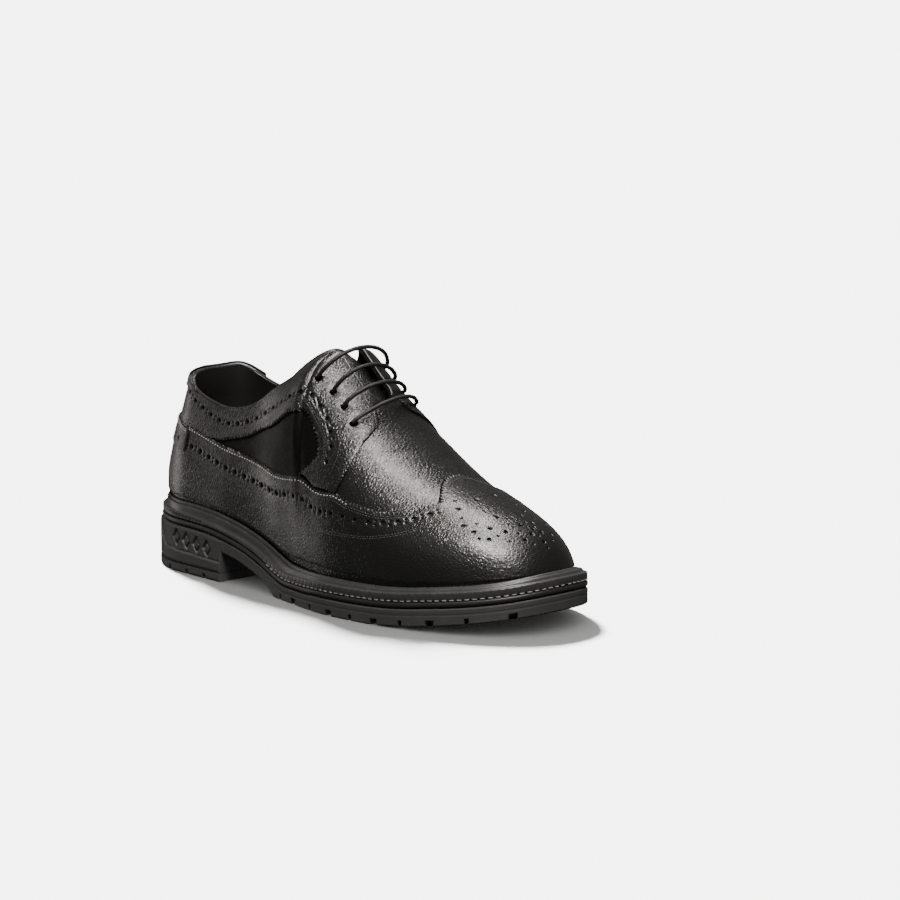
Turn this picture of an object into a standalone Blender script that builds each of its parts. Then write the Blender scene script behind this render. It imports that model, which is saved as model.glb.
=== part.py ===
"""Brogue shoe: a black longwing derby for the right foot, standing unbent on its sole.

The sole is a stack of layers whose edges follow one outline. The upper is one function,
surface(q, h, off): q runs round the shoe, h climbs from the sole to the top, off stands off
the leather. The overlays, the tongue and the lace take their places from that function.
Toe at +X, lateral (outer) side at -Y, floor at Z = 0. Tables are in millimetres.
"""
import bpy
import bmesh
import numpy as np
from mathutils import Vector

for old in list(bpy.data.objects):
    bpy.data.objects.remove(old, do_unlink=True)

# Driving sizes.
MM = 0.001                 # tables below are in millimetres

LENGTH = 306.0             # outsole, heel to toe
HEEL_ROUND = 0.14          # share of the length taken by the rounded heel
TOE_ROUND = 0.34           # share of the length taken by the rounded toe
HEEL_POWER = 2.2           # 2 is an ellipse, more is squarer
TOE_POWER = 2.38
BREAST = 81.5              # front face of the heel
STEP_BACK, STEP_FRONT = 125.0, 133.0   # where the forefoot tread starts
WALL = 1.8                 # leather and lining of the upper together
GAP = 0.3                  # between neighbouring pieces


def curve(xs, ys, x):
    """Smooth curve through the rows: cubic Hermite, slopes from the neighbouring rows."""
    x = np.clip(np.asarray(x, float), xs[0], xs[-1])
    step, rise = np.diff(xs), np.diff(ys)
    slope = rise / step
    m = np.concatenate([slope[:1], (slope[:-1] * step[1:] + slope[1:] * step[:-1])
                        / (step[:-1] + step[1:]), slope[-1:]])
    i = np.clip(np.searchsorted(xs, x) - 1, 0, len(xs) - 2)
    t = (x - xs[i]) / step[i]
    return ((2 * t**3 - 3 * t**2 + 1) * ys[i] + (t**3 - 2 * t**2 + t) * step[i] * m[i]
            + (3 * t**2 - 2 * t**3) * ys[i + 1] + (t**3 - t**2) * step[i] * m[i + 1])


def table(names, *rows):
    """A table of named columns; the first one is the place, the others are read there."""
    names = names.split()
    cols = dict(zip(names, np.array(rows, float).T))
    return lambda name, place: curve(cols[names[0]], cols[name], place)


# Sole outline in plan: half widths from a centre line that swings inwards at the toe.
OUTLINE = table(
    "share lateral medial centre",
    (0.00, 31.0, 31.5, -1.0),
    (0.12, 35.3, 35.3, -1.0),
    (0.25, 38.3, 36.3, -1.0),
    (0.40, 41.9, 32.3, -1.0),
    (0.50, 49.0, 36.8, -1.0),
    (0.60, 55.6, 45.9, -0.4),
    (0.68, 56.3, 53.5, 0.4),
    (0.80, 56.0, 56.0, 2.5),
    (1.00, 56.5, 55.5, 7.9))

# Heights of the sole's lines, worked out from the heel to the toe.
SOLE = table(
    "x parting groove feather",
    (0.0, 28.6, 37.2, 43.4),
    (27.0, 27.6, 36.0, 42.4),
    (82.0, 24.4, 31.3, 38.6),
    (100.0, 20.6, 27.8, 34.6),
    (116.0, 15.8, 23.4, 29.6),
    (130.0, 11.0, 19.0, 24.6),
    (141.0, 8.4, 16.6, 21.4),
    (156.0, 7.9, 16.4, 20.0),
    (180.0, 8.8, 17.5, 20.2),
    (207.0, 9.2, 18.0, 20.3),
    (236.0, 10.4, 19.3, 21.3),
    (258.0, 12.8, 21.8, 23.6),
    (281.0, 15.6, 24.6, 26.4),
    (297.0, 18.4, 27.4, 29.4),
    (306.0, 20.6, 29.6, 31.8))

# Upper: top end of each rib. It runs along the topline from the back seam to the front of
# the collar, then down the ridge of instep and vamp to the toe. turn is the angle at which
# the rib leaves it (0 upright, 90 flat); rise and flare say how full the rib is.
UPPER = table(
    "share x lateral medial z_lateral z_medial turn rise lean flare",
    (0.00, 29.0, 20.0, 20.0, 116.0, 116.0, 12, 0.34, 3, 0.32),
    (0.05, 33.5, 22.0, 22.5, 113.5, 117.0, 12, 0.34, 4, 0.32),
    (0.12, 45.5, 25.0, 24.5, 107.0, 111.3, 12, 0.34, 5, 0.34),
    (0.20, 62.5, 27.5, 26.0, 102.0, 105.4, 12, 0.34, 5, 0.34),
    (0.27, 82.0, 28.5, 27.0, 99.8, 103.0, 14, 0.34, 5, 0.34),
    (0.34, 103.0, 28.0, 26.5, 105.5, 107.0, 20, 0.34, 5, 0.36),
    (0.39, 117.0, 26.0, 25.5, 114.8, 114.5, 30, 0.34, 4, 0.38),
    (0.43, 128.5, 23.0, 23.0, 122.0, 122.0, 42, 0.35, 4, 0.38),
    (0.465, 137.8, 17.3, 17.3, 130.0, 130.2, 56, 0.37, 4, 0.36),
    (0.49, 143.6, 11.8, 11.8, 134.0, 134.0, 70, 0.39, 5.5, 0.335),
    (0.51, 147.8, 6.2, 6.2, 135.8, 135.8, 82, 0.40, 6.5, 0.335),
    (0.525, 149.8, 0.0, 0.0, 136.0, 136.0, 90, 0.40, 7, 0.33),
    (0.555, 157.0, 0.0, 0.0, 129.8, 129.8, 90, 0.41, 6.5, 0.315),
    (0.585, 166.0, 0.0, 0.0, 121.2, 121.2, 90, 0.42, 7, 0.32),
    (0.625, 178.0, 0.0, 0.0, 110.3, 110.3, 90, 0.43, 7, 0.36),
    (0.66, 191.0, 0.0, 0.0, 98.8, 98.8, 90, 0.45, 7, 0.40),
    (0.71, 208.0, 0.0, 0.0, 85.6, 85.6, 90, 0.46, 7, 0.43),
    (0.77, 228.0, 0.0, 0.0, 73.2, 73.2, 90, 0.46, 6, 0.45),
    (0.84, 247.0, 0.0, 0.0, 65.4, 65.4, 90, 0.46, 2, 0.43),
    (0.92, 262.0, 0.0, 0.0, 60.0, 60.0, 90, 0.43, -8, 0.41),
    (1.00, 270.0, 0.0, 0.0, 57.0, 57.0, 90, 0.38, -16, 0.40))

RIDGE_START = 0.525        # from this share on the ribs end on the ridge
THROAT_END = 0.625         # the throat is open down to here
THROAT_HALF = 9.0          # half its width between the facings
THROAT_ROUND = 9.5         # length of its rounded end
RIDGE_CENTRE = ((150.0, 0.0), (200.0, 0.5), (240.0, 3.0), (306.0, 7.9))
TOE_FAN = 30.0             # spreads the last ribs along the ridge


def share_at(r):
    """Share of the length at a station r: stations crowd together round heel and toe."""
    return (1 - np.cos(np.pi * np.asarray(r, float))) / 2


def station_at(x):
    """The station whose point on the outline has this x."""
    return np.arccos(1 - 2 * np.asarray(x, float) / LENGTH) / np.pi


def edge(r, side):
    """Point of the outsole's outline: side -1 is lateral (outer), +1 is medial (inner)."""
    s = share_at(r)
    half = np.where(side < 0, OUTLINE("lateral", s), OUTLINE("medial", s))
    back = np.clip((HEEL_ROUND - s) / HEEL_ROUND, 0, 1)
    front = np.clip((s - 1 + TOE_ROUND) / TOE_ROUND, 0, 1)
    cap = (1 - back**HEEL_POWER)**(1 / HEEL_POWER) * (1 - front**TOE_POWER)**(1 / TOE_POWER)
    return np.stack([s * LENGTH, OUTLINE("centre", s) + side * half * cap], -1)


def outward(r, side):
    """Unit vector out of the outline, in plan."""
    step = 1e-4
    d = edge(np.clip(r + step, 0, 1), side) - edge(np.clip(r - step, 0, 1), side)
    n = np.stack([-d[..., 1], d[..., 0]], -1) * np.asarray(side)[..., None]
    n[..., 1] = np.where((r < step) | (r > 1 - step), 0.0, n[..., 1])
    return n / np.linalg.norm(n, axis=-1, keepdims=True)


def inset(r, side, distance):
    return edge(r, side) - np.asarray(distance, float)[..., None] * outward(r, side)


def feather_inset(x):
    """How far the upper stands in from the sole's edge."""
    return np.interp(x, (0.0, 80.0, 150.0, 306.0), (5.2, 5.6, 7.6, 8.2))


def ridge_line(x, what):
    """Height or slope of the instep and vamp ridge at x."""
    share = np.linspace(RIDGE_START, 1.0, 400)
    px, pz = UPPER("x", share), UPPER("z_lateral", share)
    return np.interp(x, px, pz if what == "height" else np.gradient(pz, px))


def rib(r, side, h):
    """Outer surface of the upper. r is the station, h goes from the feather 0 to the top 1.

    Each rib is a cubic Bezier: up from the feather with a lean outwards, in to the top end.
    """
    r = np.asarray(r, float)
    s = share_at(r)
    foot2 = inset(r, side, feather_inset(s * LENGTH))
    foot = np.concatenate([foot2, SOLE("feather", foot2[..., 0])[..., None]], -1)
    lateral, closed = np.asarray(side) < 0, s >= RIDGE_START
    half = np.where(lateral, UPPER("lateral", s), UPPER("medial", s))
    half = np.where(closed, 0, half)
    half = half * np.sqrt(np.clip(1 - np.clip(1 - s / 0.12, 0, 1)**2, 0, 1))
    x = UPPER("x", s) - TOE_FAN * (1 - r) * r**12
    z = np.where(lateral, UPPER("z_lateral", s), UPPER("z_medial", s))
    z = np.where(closed, ridge_line(x, "height"), z)
    middle = curve(*np.array(RIDGE_CENTRE).T, x)
    top = np.stack([x, middle + side * half, z], -1)
    out = outward(r, side)
    flat = np.concatenate([out, np.zeros(out.shape[:-1] + (1,))], -1)
    up = np.array([0.0, 0.0, 1.0])
    lean, turn = np.radians(UPPER("lean", s)), np.radians(UPPER("turn", s))
    slope = ridge_line(x, "slope") * np.clip((s - 0.43) / (RIDGE_START - 0.43), 0, 1)
    size = np.linalg.norm(top - foot, axis=-1)
    start = flat * np.sin(lean)[..., None] + up * np.cos(lean)[..., None]
    end = flat * np.sin(turn)[..., None] - up * np.cos(turn)[..., None]
    end = end + up * (out[..., 0] * slope * np.sin(turn))[..., None]
    p1 = foot + start * (UPPER("rise", s) * size)[..., None]
    p2 = top + end * (UPPER("flare", s) * size)[..., None]
    t = np.asarray(h, float)[..., None]
    return (1 - t)**3 * foot + 3 * (1 - t)**2 * t * p1 + 3 * (1 - t) * t**2 * p2 + t**3 * top


def wrap(q):
    """Way round the shoe as one number: 0 heel, 0..1 lateral, 1 toe, 1..2 medial."""
    q = np.mod(q, 2.0)
    return np.where(q <= 1, q, 2 - q), np.where(q <= 1, -1.0, 1.0)


def surface(q, h, off=0.0):
    """Upper's surface at (q, h), moved off millimetres along its own normal."""
    q, h = np.broadcast_arrays(np.asarray(q, float), np.asarray(h, float))
    d = 2e-3
    around = rib(*wrap(q + d), h) - rib(*wrap(q - d), h)
    upward = rib(*wrap(q), h + d) - rib(*wrap(q), h - d)
    n = np.cross(around, upward)
    r, side = wrap(q)
    s = share_at(r)
    closed = (s >= RIDGE_START) & (h > 0.995)
    slope = ridge_line(UPPER("x", s), "slope")
    flat = np.stack([-slope, np.zeros_like(slope), np.ones_like(slope)], -1)
    n = np.where(closed[..., None], flat, n)
    n /= np.linalg.norm(n, axis=-1, keepdims=True)
    return rib(r, side, h) + np.asarray(off, float)[..., None] * n


def half_gap(x):
    """Half the open throat's width at x, rounded off at its lower end."""
    end = float(UPPER("x", THROAT_END))
    t = np.clip((x - end + THROAT_ROUND) / THROAT_ROUND, 0, 1)
    return THROAT_HALF * np.sqrt(1 - t**2)


def top_height(r, side):
    """Height h at which the leather ends: 1, or less along the edge of the throat."""
    r = np.asarray(r, float)
    low, high = np.full(r.shape, 0.6), np.ones(r.shape)
    for _ in range(24):
        h = (low + high) / 2
        p = rib(r, side, h)
        wide = np.abs(p[..., 1] - curve(*np.array(RIDGE_CENTRE).T, p[..., 0]))
        outside = wide > half_gap(p[..., 0])
        low, high = np.where(outside, h, low), np.where(outside, high, h)
    closed = share_at(r) >= THROAT_END - 1e-6
    p = rib(r, side, np.ones(r.shape))
    collar = np.abs(p[..., 1] - curve(*np.array(RIDGE_CENTRE).T, p[..., 0])) >= THROAT_HALF
    return np.where(closed | (share_at(r) < 0.45) | collar, 1.0, low)

SPRING_FROM, SPRING, SPRING_POWER = 215.0, 11.5, 1.65   # toe spring of the tread
LIFT = 5.0                 # heel lift under the moulded heel
FRAME = 1.3                # heel's raised frame stands out this far
MIDSOLE = 4.0              # from the parting line to the welt
INSOLE = 3.5
REGION = (-1.0, 4.5)       # a cutter that picks out one overlay reaches this far
OVERLAY = (GAP, 1.4)       # first layer of leather over the upper
TOP_LAYER = (1.7, 2.6)     # second layer, over the first
LACE = 1.15                # half its thickness
EYELET = 2.2               # half width of the hole
STATIONS = 27              # per side

ARCH = ((82.1, 17.7), (95.0, 15.4), (108.0, 11.6), (118.0, 8.3), (125.0, 6.0), (133.0, 0.0))
# Eyelets from the top down: station and height on the upper's surface.
EYELETS = ((0.5267, 0.712), (0.5467, 0.728), (0.5631, 0.730), (0.5794, 0.710))
SIDE_SLOTS = (141.0, 155.0, 173.0, 190.0, 206.5, 223.5, 240.5, 258.0, 277.0, 296.0)
TREAD_BARS = (150.0, 168.0, 186.0, 204.0, 222.0, 240.0, 258.0)
LOZENGES = (38.0, 48.0, 58.0, 68.0)

# Wing: bottom station, then station and height of its gimped edge up to the peak.
WING = table(
    "foot station height",
    (0.00, 0.000, 0.640), (0.10, 0.100, 0.636), (0.18, 0.184, 0.640),
    (0.27, 0.270, 0.672), (0.32, 0.323, 0.647), (0.38, 0.381, 0.591),
    (0.44, 0.443, 0.476), (0.49, 0.494, 0.345), (0.54, 0.541, 0.302),
    (0.58, 0.579, 0.344), (0.60, 0.598, 0.351), (0.63, 0.625, 0.378),
    (0.66, 0.647, 0.413), (0.68, 0.664, 0.466), (0.70, 0.682, 0.536),
    (0.715, 0.693, 0.605), (0.735, 0.703, 0.679), (0.785, 0.693, 0.770),
    (0.80, 0.684, 0.870), (0.815, 0.681, 1.000), (0.86, 0.750, 1.000),
    (0.92, 0.860, 1.000), (1.00, 1.000, 1.000))
WING_PEAK = 0.815

# Quarter: the band from the back seam round the plain window down to the flap's foot.
QUARTER = table(
    "way station height far_station far_height",
    (0.0, 0.006, 0.654, 0.006, 1.000), (1.0, 0.100, 0.650, 0.100, 1.000),
    (2.0, 0.190, 0.658, 0.190, 1.000), (3.0, 0.270, 0.684, 0.270, 1.000),
    (4.0, 0.336, 0.694, 0.336, 1.000), (5.0, 0.378, 0.728, 0.395, 1.000),
    (6.0, 0.4175, 0.748, 0.450, 1.000), (7.0, 0.448, 0.722, 0.488, 1.000),
    (8.0, 0.470, 0.681, 0.508, 1.000), (9.0, 0.492, 0.627, 0.536, 1.000),
    (10.0, 0.510, 0.577, 0.566, 1.000), (11.0, 0.526, 0.541, 0.586, 0.896),
    (12.0, 0.538, 0.512, 0.596, 0.830), (13.0, 0.5455, 0.478, 0.5975, 0.730),
    (14.0, 0.5465, 0.445, 0.596, 0.640), (15.0, 0.5425, 0.410, 0.5935, 0.560),
    (16.0, 0.535, 0.376, 0.589, 0.470), (17.0, 0.524, 0.350, 0.583, 0.400),
    (18.0, 0.512, 0.335, 0.579, 0.362))

# Tongue: cross sections square to the instep's ridge. place runs up the ridge from the
# throat's lower end, depth is under the ridge, drop is how far the edges hang below.
TONGUE = ("place half depth drop".split(),
          (-33.0, 22.0, 2.6, 4.6), (-20.0, 24.0, 2.9, 5.6), (-7.0, 24.0, 5.3, 8.6),
          (7.0, 24.0, 5.2, 11.8), (18.0, 24.0, 5.0, 14.8), (28.0, 23.5, 5.0, 17.8),
          (36.0, 22.3, 5.4, 20.5), (42.0, 21.0, 6.5, 22.0), (48.5, 20.5, 8.0, 25.0))
TONGUE_BEND, TONGUE_THICK = 1.25, 2.4
RIDGE_AT, RIDGE_UP = np.array([178.0, 0.0, 110.3]), np.array([-0.7415, 0.0, 0.671])
RIDGE_OUT = np.array([0.671, 0.0, 0.7415])

# Lace bars from the top down: two guide points each, across the shoe and over the ridge.
BARS = ("guide_y guide_w second_y second_w".split(),
        (-28.0, 25.0, 15.0, 18.0), (-27.0, 24.0, 12.0, 12.5),
        (-24.0, 16.0, 13.0, 11.0), (-23.0, 7.0, 13.0, 13.0))


def material(name, colour, rough, metal=0.0):
    mat = bpy.data.materials.new(name)
    mat.use_nodes = True
    node = mat.node_tree.nodes["Principled BSDF"]
    node.inputs["Base Color"].default_value = (*colour, 1.0)
    node.inputs["Roughness"].default_value = rough
    node.inputs["Metallic"].default_value = metal
    return mat


def collection(name):
    col = bpy.data.collections.new(name)
    bpy.context.scene.collection.children.link(col)
    return col


SHOE = collection("brogue_shoe")
CUTTERS = collection("cutters")

ends = np.concatenate([edge(np.linspace(0, 1, 400), np.full(400, s)) for s in (-1, 1)])
MIDDLE = np.array([(LENGTH - FRAME) / 2, (ends[:, 1].min() + ends[:, 1].max()) / 2, 0.0])


def solid(name, points, faces, look=None, home=SHOE):
    """A closed mesh from points in millimetres, faces turned outwards."""
    mesh = bpy.data.meshes.new(name)
    places = (np.asarray(points, float) - MIDDLE) * MM
    mesh.from_pydata([tuple(p) for p in places], [], [tuple(int(i) for i in f) for f in faces])
    obj = bpy.data.objects.new(name, mesh)
    home.objects.link(obj)
    bm = bmesh.new()
    bm.from_mesh(mesh)
    bmesh.ops.remove_doubles(bm, verts=bm.verts, dist=0.00005)
    bmesh.ops.triangulate(bm, faces=bm.faces)
    bmesh.ops.recalc_face_normals(bm, faces=bm.faces)
    bm.to_mesh(mesh)
    bm.free()
    if look:
        mesh.materials.append(look)
    return obj


def cut(obj, cutters):
    """Take the cutters out of obj and keep them hidden."""
    group = bpy.data.collections.new(obj.name + "_cutters")
    CUTTERS.children.link(group)
    for cutter in cutters:
        CUTTERS.objects.unlink(cutter)
        group.objects.link(cutter)
        cutter.hide_render = True
        cutter.display_type = "WIRE"
    mod = obj.modifiers.new("cut", "BOOLEAN")
    mod.operation = "DIFFERENCE"
    mod.solver = "EXACT"
    mod.operand_type = "COLLECTION"
    mod.collection = group


def merge_flat(obj):
    """Join the slivers that a cut leaves in one flat face."""
    mod = obj.modifiers.new("merge_flat", "DECIMATE")
    mod.decimate_type = "DISSOLVE"
    mod.angle_limit = np.radians(0.4)


def floor_at(x):
    rise = np.clip((x - SPRING_FROM) / (LENGTH - SPRING_FROM), 0, 1)
    return SPRING * rise**SPRING_POWER


def underside(x):
    """Lower face of the outsole: heel seat over the lift, arch, then the tread."""
    arch = np.interp(x, *np.array(ARCH).T)
    return np.where(x <= BREAST + 0.05, LIFT + GAP, np.where(x < STEP_FRONT, arch, floor_at(x)))


def layers(name, r, side, rings, look, ring_only=False):
    """A layered piece: rings from the bottom up, closed by caps or joined as a hoop."""
    n = len(r)
    points = np.concatenate([np.column_stack([inset(r, side, e), z]) for e, z in rings])
    faces = []
    count = len(rings)
    for k in range(count if ring_only else count - 1):
        low, high = k * n, (k + 1) % count * n
        for i in range(n):
            j = (i + 1) % n
            faces.append((low + i, low + j, high + j, high + i))
    if not ring_only:
        half = n // 2
        for base in (0, (count - 1) * n):
            for i in range(half):
                a, b, c, d = i, i + 1, (n - i - 1) % n, (n - i) % n
                quad = (a, b, c) if d == a else (a, b, c, d) if b != c else (a, b, d)
                faces.append(tuple(base + k for k in quad))
    return solid(name, points, faces, look)


def stations(extra=()):
    """Stations once round, with extra places (x) put in on both sides."""
    r = np.linspace(0, 1, STATIONS + 1)
    more = station_at(np.array(extra)) if len(extra) else np.array([])
    keep = [v for v in r if not len(more) or np.abs(more - v).min() > 0.006 or v in (0.0, 1.0)]
    r = np.sort(np.concatenate([keep, more]))
    q = np.concatenate([r, r[-2:0:-1]])
    side = np.concatenate([-np.ones(len(r)), np.ones(len(r) - 2)])
    return q, side


# Outsole: moulded rubber with the heel block in one, its raised frame, lozenges and lugs.
RUBBER = material("outsole rubber", (0.030, 0.030, 0.031), 0.62)
r, side = stations((BREAST, BREAST + 0.6, 95.0, 108.0, STEP_BACK, STEP_FRONT))
x = share_at(r) * LENGTH
top, low = SOLE("parting", x), underside(x)


def heel_frame(x, z):
    """The back wrap and lower band of the heel stand out round a sunk panel."""
    band = np.interp(x, (0.0, 82.0), (14.0, 11.3))
    wrap_round = x < 13.0 + (24.0 - z) * 1.15
    return np.where((x < BREAST + 0.3) & (wrap_round | (z < band)), FRAME, 0.0)


rings = [(np.full(r.shape, 0.8), low)]
for share in (0.05, 0.30, 0.37, 0.62, 0.80, 0.88):
    z = low + (top - low) * share
    rings.append((-heel_frame(x, z) + (0.15 if share < 0.1 else 0.0), z))
rings.append((np.full(r.shape, 0.5), top))
outsole = layers("outsole", r, side, rings, RUBBER)


def block(r0, side0, depth, width, z_low, z_high, inward=0.0):
    """A cutter box square to the outline at a station, reaching in from the edge."""
    r0, side0 = np.array([r0]), np.array([side0])
    out = outward(r0, side0)[0]
    along = np.array([-out[1], out[0]])
    mid = edge(r0, side0)[0] - out * (depth / 2 - 3.0 + inward)
    points = [(*(mid + out * a * (depth / 2 + 1) + along * b * width / 2), z)
              for z in (z_low, z_high) for a, b in ((-1, -1), (1, -1), (1, 1), (-1, 1))]
    return solid("cutter", points, BOX, None, CUTTERS)


BOX = [(0, 1, 2, 3), (4, 5, 6, 7), (0, 1, 5, 4), (1, 2, 6, 5), (2, 3, 7, 6), (3, 0, 4, 7)]
cutters = []
for side0 in (-1.0, 1.0):
    for k, x0 in enumerate(SIDE_SLOTS):
        z0 = float(floor_at(np.array(x0)))
        cutters.append(block(float(station_at(x0)), side0, 10.0, 4.6 if k % 2 else 2.2,
                             z0 - 3, z0 + 3.2))
    for x0 in LOZENGES:
        station = np.array([station_at(x0)])
        out = outward(station, np.array([side0]))[0]
        along = np.array([-out[1], out[0]])
        mid = edge(station, np.array([side0]))[0]
        z0 = np.interp(x0, (38.0, 68.0), (20.2, 17.6))
        ring = ((-3.1, 0), (0, -4.6), (3.1, 0), (0, 4.6))
        points = [(*(mid + out * o + along * a), z0 + b) for o in (-0.9, 2.0) for a, b in ring]
        cutters.append(solid("cutter", points, BOX, None, CUTTERS))
for x0 in TREAD_BARS:
    z0 = float(floor_at(np.array(x0)))
    half = 30.0 if x0 < 250 else 20.0
    points = [(x0 + a, b + 1.0, z) for z in (z0 - 3, z0 + 2.6)
              for a, b in ((-1.4, -half), (1.4, -half), (1.4, half), (-1.4, half))]
    cutters.append(solid("cutter", points, BOX, None, CUTTERS))
cut(outsole, cutters)

# Heel lift: the rubber top piece that meets the ground, with slots round its lower edge.
heel_r = np.linspace(0, float(station_at(BREAST)), 13)
count = len(heel_r)
r_all = np.concatenate([heel_r, heel_r[:0:-1]])
side_all = np.concatenate([-np.ones(count), np.ones(count - 1)])
outer = []
for e, z in ((-0.2, 0.0), (-FRAME, 1.2), (-FRAME, LIFT)):
    outer.append(np.column_stack([inset(r_all, side_all, np.full(r_all.shape, e)),
                                  np.full(r_all.shape, z)]))
points = np.concatenate(outer)
n = len(r_all)
faces = [tuple(range(n)), tuple(range(2 * n, 3 * n))]
for k in range(2):
    for i in range(n):
        j = (i + 1) % n
        faces.append((k * n + i, k * n + j, (k + 1) * n + j, (k + 1) * n + i))
LIFT_RUBBER = material("heel rubber", (0.026, 0.026, 0.027), 0.66)
heel_lift = solid("heel_lift", points, faces, LIFT_RUBBER)
cutters = [block(float(station_at(x0)), s, 9.0, 2.4, -2.0, 2.6)
           for s in (-1.0, 1.0) for x0 in (14.0, 32.0, 50.0, 67.0)]
for x0 in (22.0, 40.0, 58.0):
    points = [(x0 + a, b, z) for z in (-2.0, 2.2)
              for a, b in ((-1.4, -19.0), (1.4, -19.0), (1.4, 18.0), (-1.4, 18.0))]
    cutters.append(solid("cutter", points, BOX, None, CUTTERS))
cut(heel_lift, cutters)

# Midsole: a rounded band between the parting line and the welt.
r, side = stations()
x = share_at(r) * LENGTH
parting, groove, feather = (SOLE(name, x) for name in ("parting", "groove", "feather"))
foot = feather_inset(x)
full = np.ones(r.shape)
MID_RUBBER = material("midsole rubber", (0.024, 0.024, 0.025), 0.50)
layers("midsole", r, side, [
    (1.4 * full, parting + GAP), (0.4 * full, parting + GAP + 0.6), (0.0 * full, parting + 2.0),
    (0.3 * full, parting + 3.3), (1.1 * full, parting + MIDSOLE)], MID_RUBBER)

# Storm welt: a hoop with a stitched face, a groove and two beads up against the upper.
WELT = material("welt rubber", (0.020, 0.020, 0.021), 0.42)
base = parting + MIDSOLE + GAP
tall = feather - groove
inner = foot - 2 * GAP


def reach(k):
    return 3.0 + k * (inner - 3.0)


layers("welt", r, side, [
    (1.0 * full, base), (0.6 * full, groove - 1.2),
    (1.2 * full, groove - 0.5), (2.8 * full, groove - 0.5), (reach(0.1), groove + 0.3 * tall),
    (reach(0.45), groove + 0.45 * tall), (reach(0.55), groove + 0.30 * tall),
    (reach(0.75), groove + 0.75 * tall), (inner, groove + 0.60 * tall), (inner, base)],
    WELT, ring_only=True)

# Insole: lies on the midsole inside the upper.
LINING = material("insole leather", (0.018, 0.017, 0.017), 0.55)
layers("insole", r, side, [
    (foot + WALL + 2 * GAP, base), (foot + WALL + 2 * GAP, base + INSOLE)], LINING)


def sheet(name, outer, inner_side, look, closed=False, weld=None, home=SHOE):
    """A bent sheet with two faces and its rims. weld pairs columns that share a top end."""
    n, m = outer.shape[:2]
    points = np.concatenate([outer.reshape(-1, 3), inner_side.reshape(-1, 3)])
    index = np.arange(2 * n * m).reshape(2, n, m)
    joined = np.zeros(n, bool)
    for i, j in weld or ():
        index[:, j, -1] = index[:, i, -1]
        joined[[i, j]] = True
    faces = []
    for i in range(n if closed else n - 1):
        j = (i + 1) % n
        for k in range(m - 1):
            faces.append((index[0, i, k], index[0, j, k], index[0, j, k + 1], index[0, i, k + 1]))
            faces.append((index[1, i, k], index[1, i, k + 1], index[1, j, k + 1], index[1, j, k]))
        faces.append((index[0, i, 0], index[1, i, 0], index[1, j, 0], index[0, j, 0]))
        if not (joined[i] and joined[j]):
            faces.append((index[0, i, -1], index[0, j, -1], index[1, j, -1], index[1, i, -1]))
    if not closed:
        for i in (0, n - 1):
            for k in range(m - 1):
                faces.append((index[0, i, k], index[0, i, k + 1], index[1, i, k + 1],
                              index[1, i, k]))
    tidy = []
    for face in faces:
        face = [v for k, v in enumerate(face) if v != face[k - 1]]
        if len(face) > 2:
            tidy.append(face)
    return solid(name, points, tidy, look, home)


def round_the_shoe(r):
    """q once round from stations on one side, and which columns meet on the ridge."""
    q = np.concatenate([r, 2 - r[-2:0:-1]])
    return q, [(i, len(q) - i) for i in range(1, len(r) - 1)]


def with_skirt(q, h, off):
    """The upper's surface, carried straight down inside the welt below the feather."""
    places = surface(q, np.maximum(h, 0.0), off)
    r, side = wrap(q)
    x = share_at(r) * LENGTH
    low = np.column_stack([inset(r.ravel(), side.ravel(), (feather_inset(x) - off).ravel()),
                           (SOLE("parting", x) + MIDSOLE + GAP).ravel()]).reshape(places.shape)
    return np.where((h < 0)[..., None], low, places)


# Upper: one hollow shell, open at the collar, the throat and underneath.
UPPER_LEATHER = material("vamp leather", (0.012, 0.012, 0.012), 0.38)
marks = np.arccos(1 - 2 * np.array([0.49, 0.505, 0.525, 0.545, 0.572, 0.60, 0.612, 0.62,
                                    THROAT_END])) / np.pi
r = np.linspace(0, 1, STATIONS + 1)
r = np.sort(np.concatenate([[v for v in r if np.abs(marks - v).min() > 0.007], marks]))
q, pairs = round_the_shoe(r)
heights = np.array([-1.0, 0.0, 0.26, 0.49, 0.67, 0.83, 1.0])
Q, H = np.meshgrid(q, heights, indexing="ij")
H = H * np.where(H > 0, top_height(*wrap(q))[:, None], 1.0)
weld = [(i, j) for i, j in pairs if share_at(r[i]) >= THROAT_END - 1e-6]
weld.append((len(r) - 1, len(r) - 1))
GRID_Q, GRID_H, GRID_WELD = Q, H, weld


def shell(name, low, high, look, skirt=False):
    """A layer of the upper between two offsets, on the upper's own columns and rows."""
    first = 0 if skirt else 1
    Q, H = GRID_Q[:, first:], GRID_H[:, first:].copy()
    if not skirt:
        H[:, 0] = 0.02 + 0.03 * wrap(Q[:, 0])[0]**6
    faces = [with_skirt(Q, H, np.full(Q.shape, off)) for off in (high, low)]
    return sheet(name, *faces, look, closed=True, weld=GRID_WELD)


def only(obj, Q, H, closed=False, weld=None):
    """Keep the part of a shell whose places are in the region Q, H."""
    faces = [surface(Q, H, np.full(Q.shape, off)) for off in REGION[::-1]]
    region = sheet(obj.name + "_region", *faces, None, closed, weld, home=CUTTERS)
    region.hide_render = True
    region.display_type = "WIRE"
    mod = obj.modifiers.new("region", "BOOLEAN")
    mod.operation = "INTERSECT"
    mod.solver = "EXACT"
    mod.object = region
    mod.use_self = True
    return obj


upper = shell("upper", -WALL, 0.0, UPPER_LEATHER, skirt=True)

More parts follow.
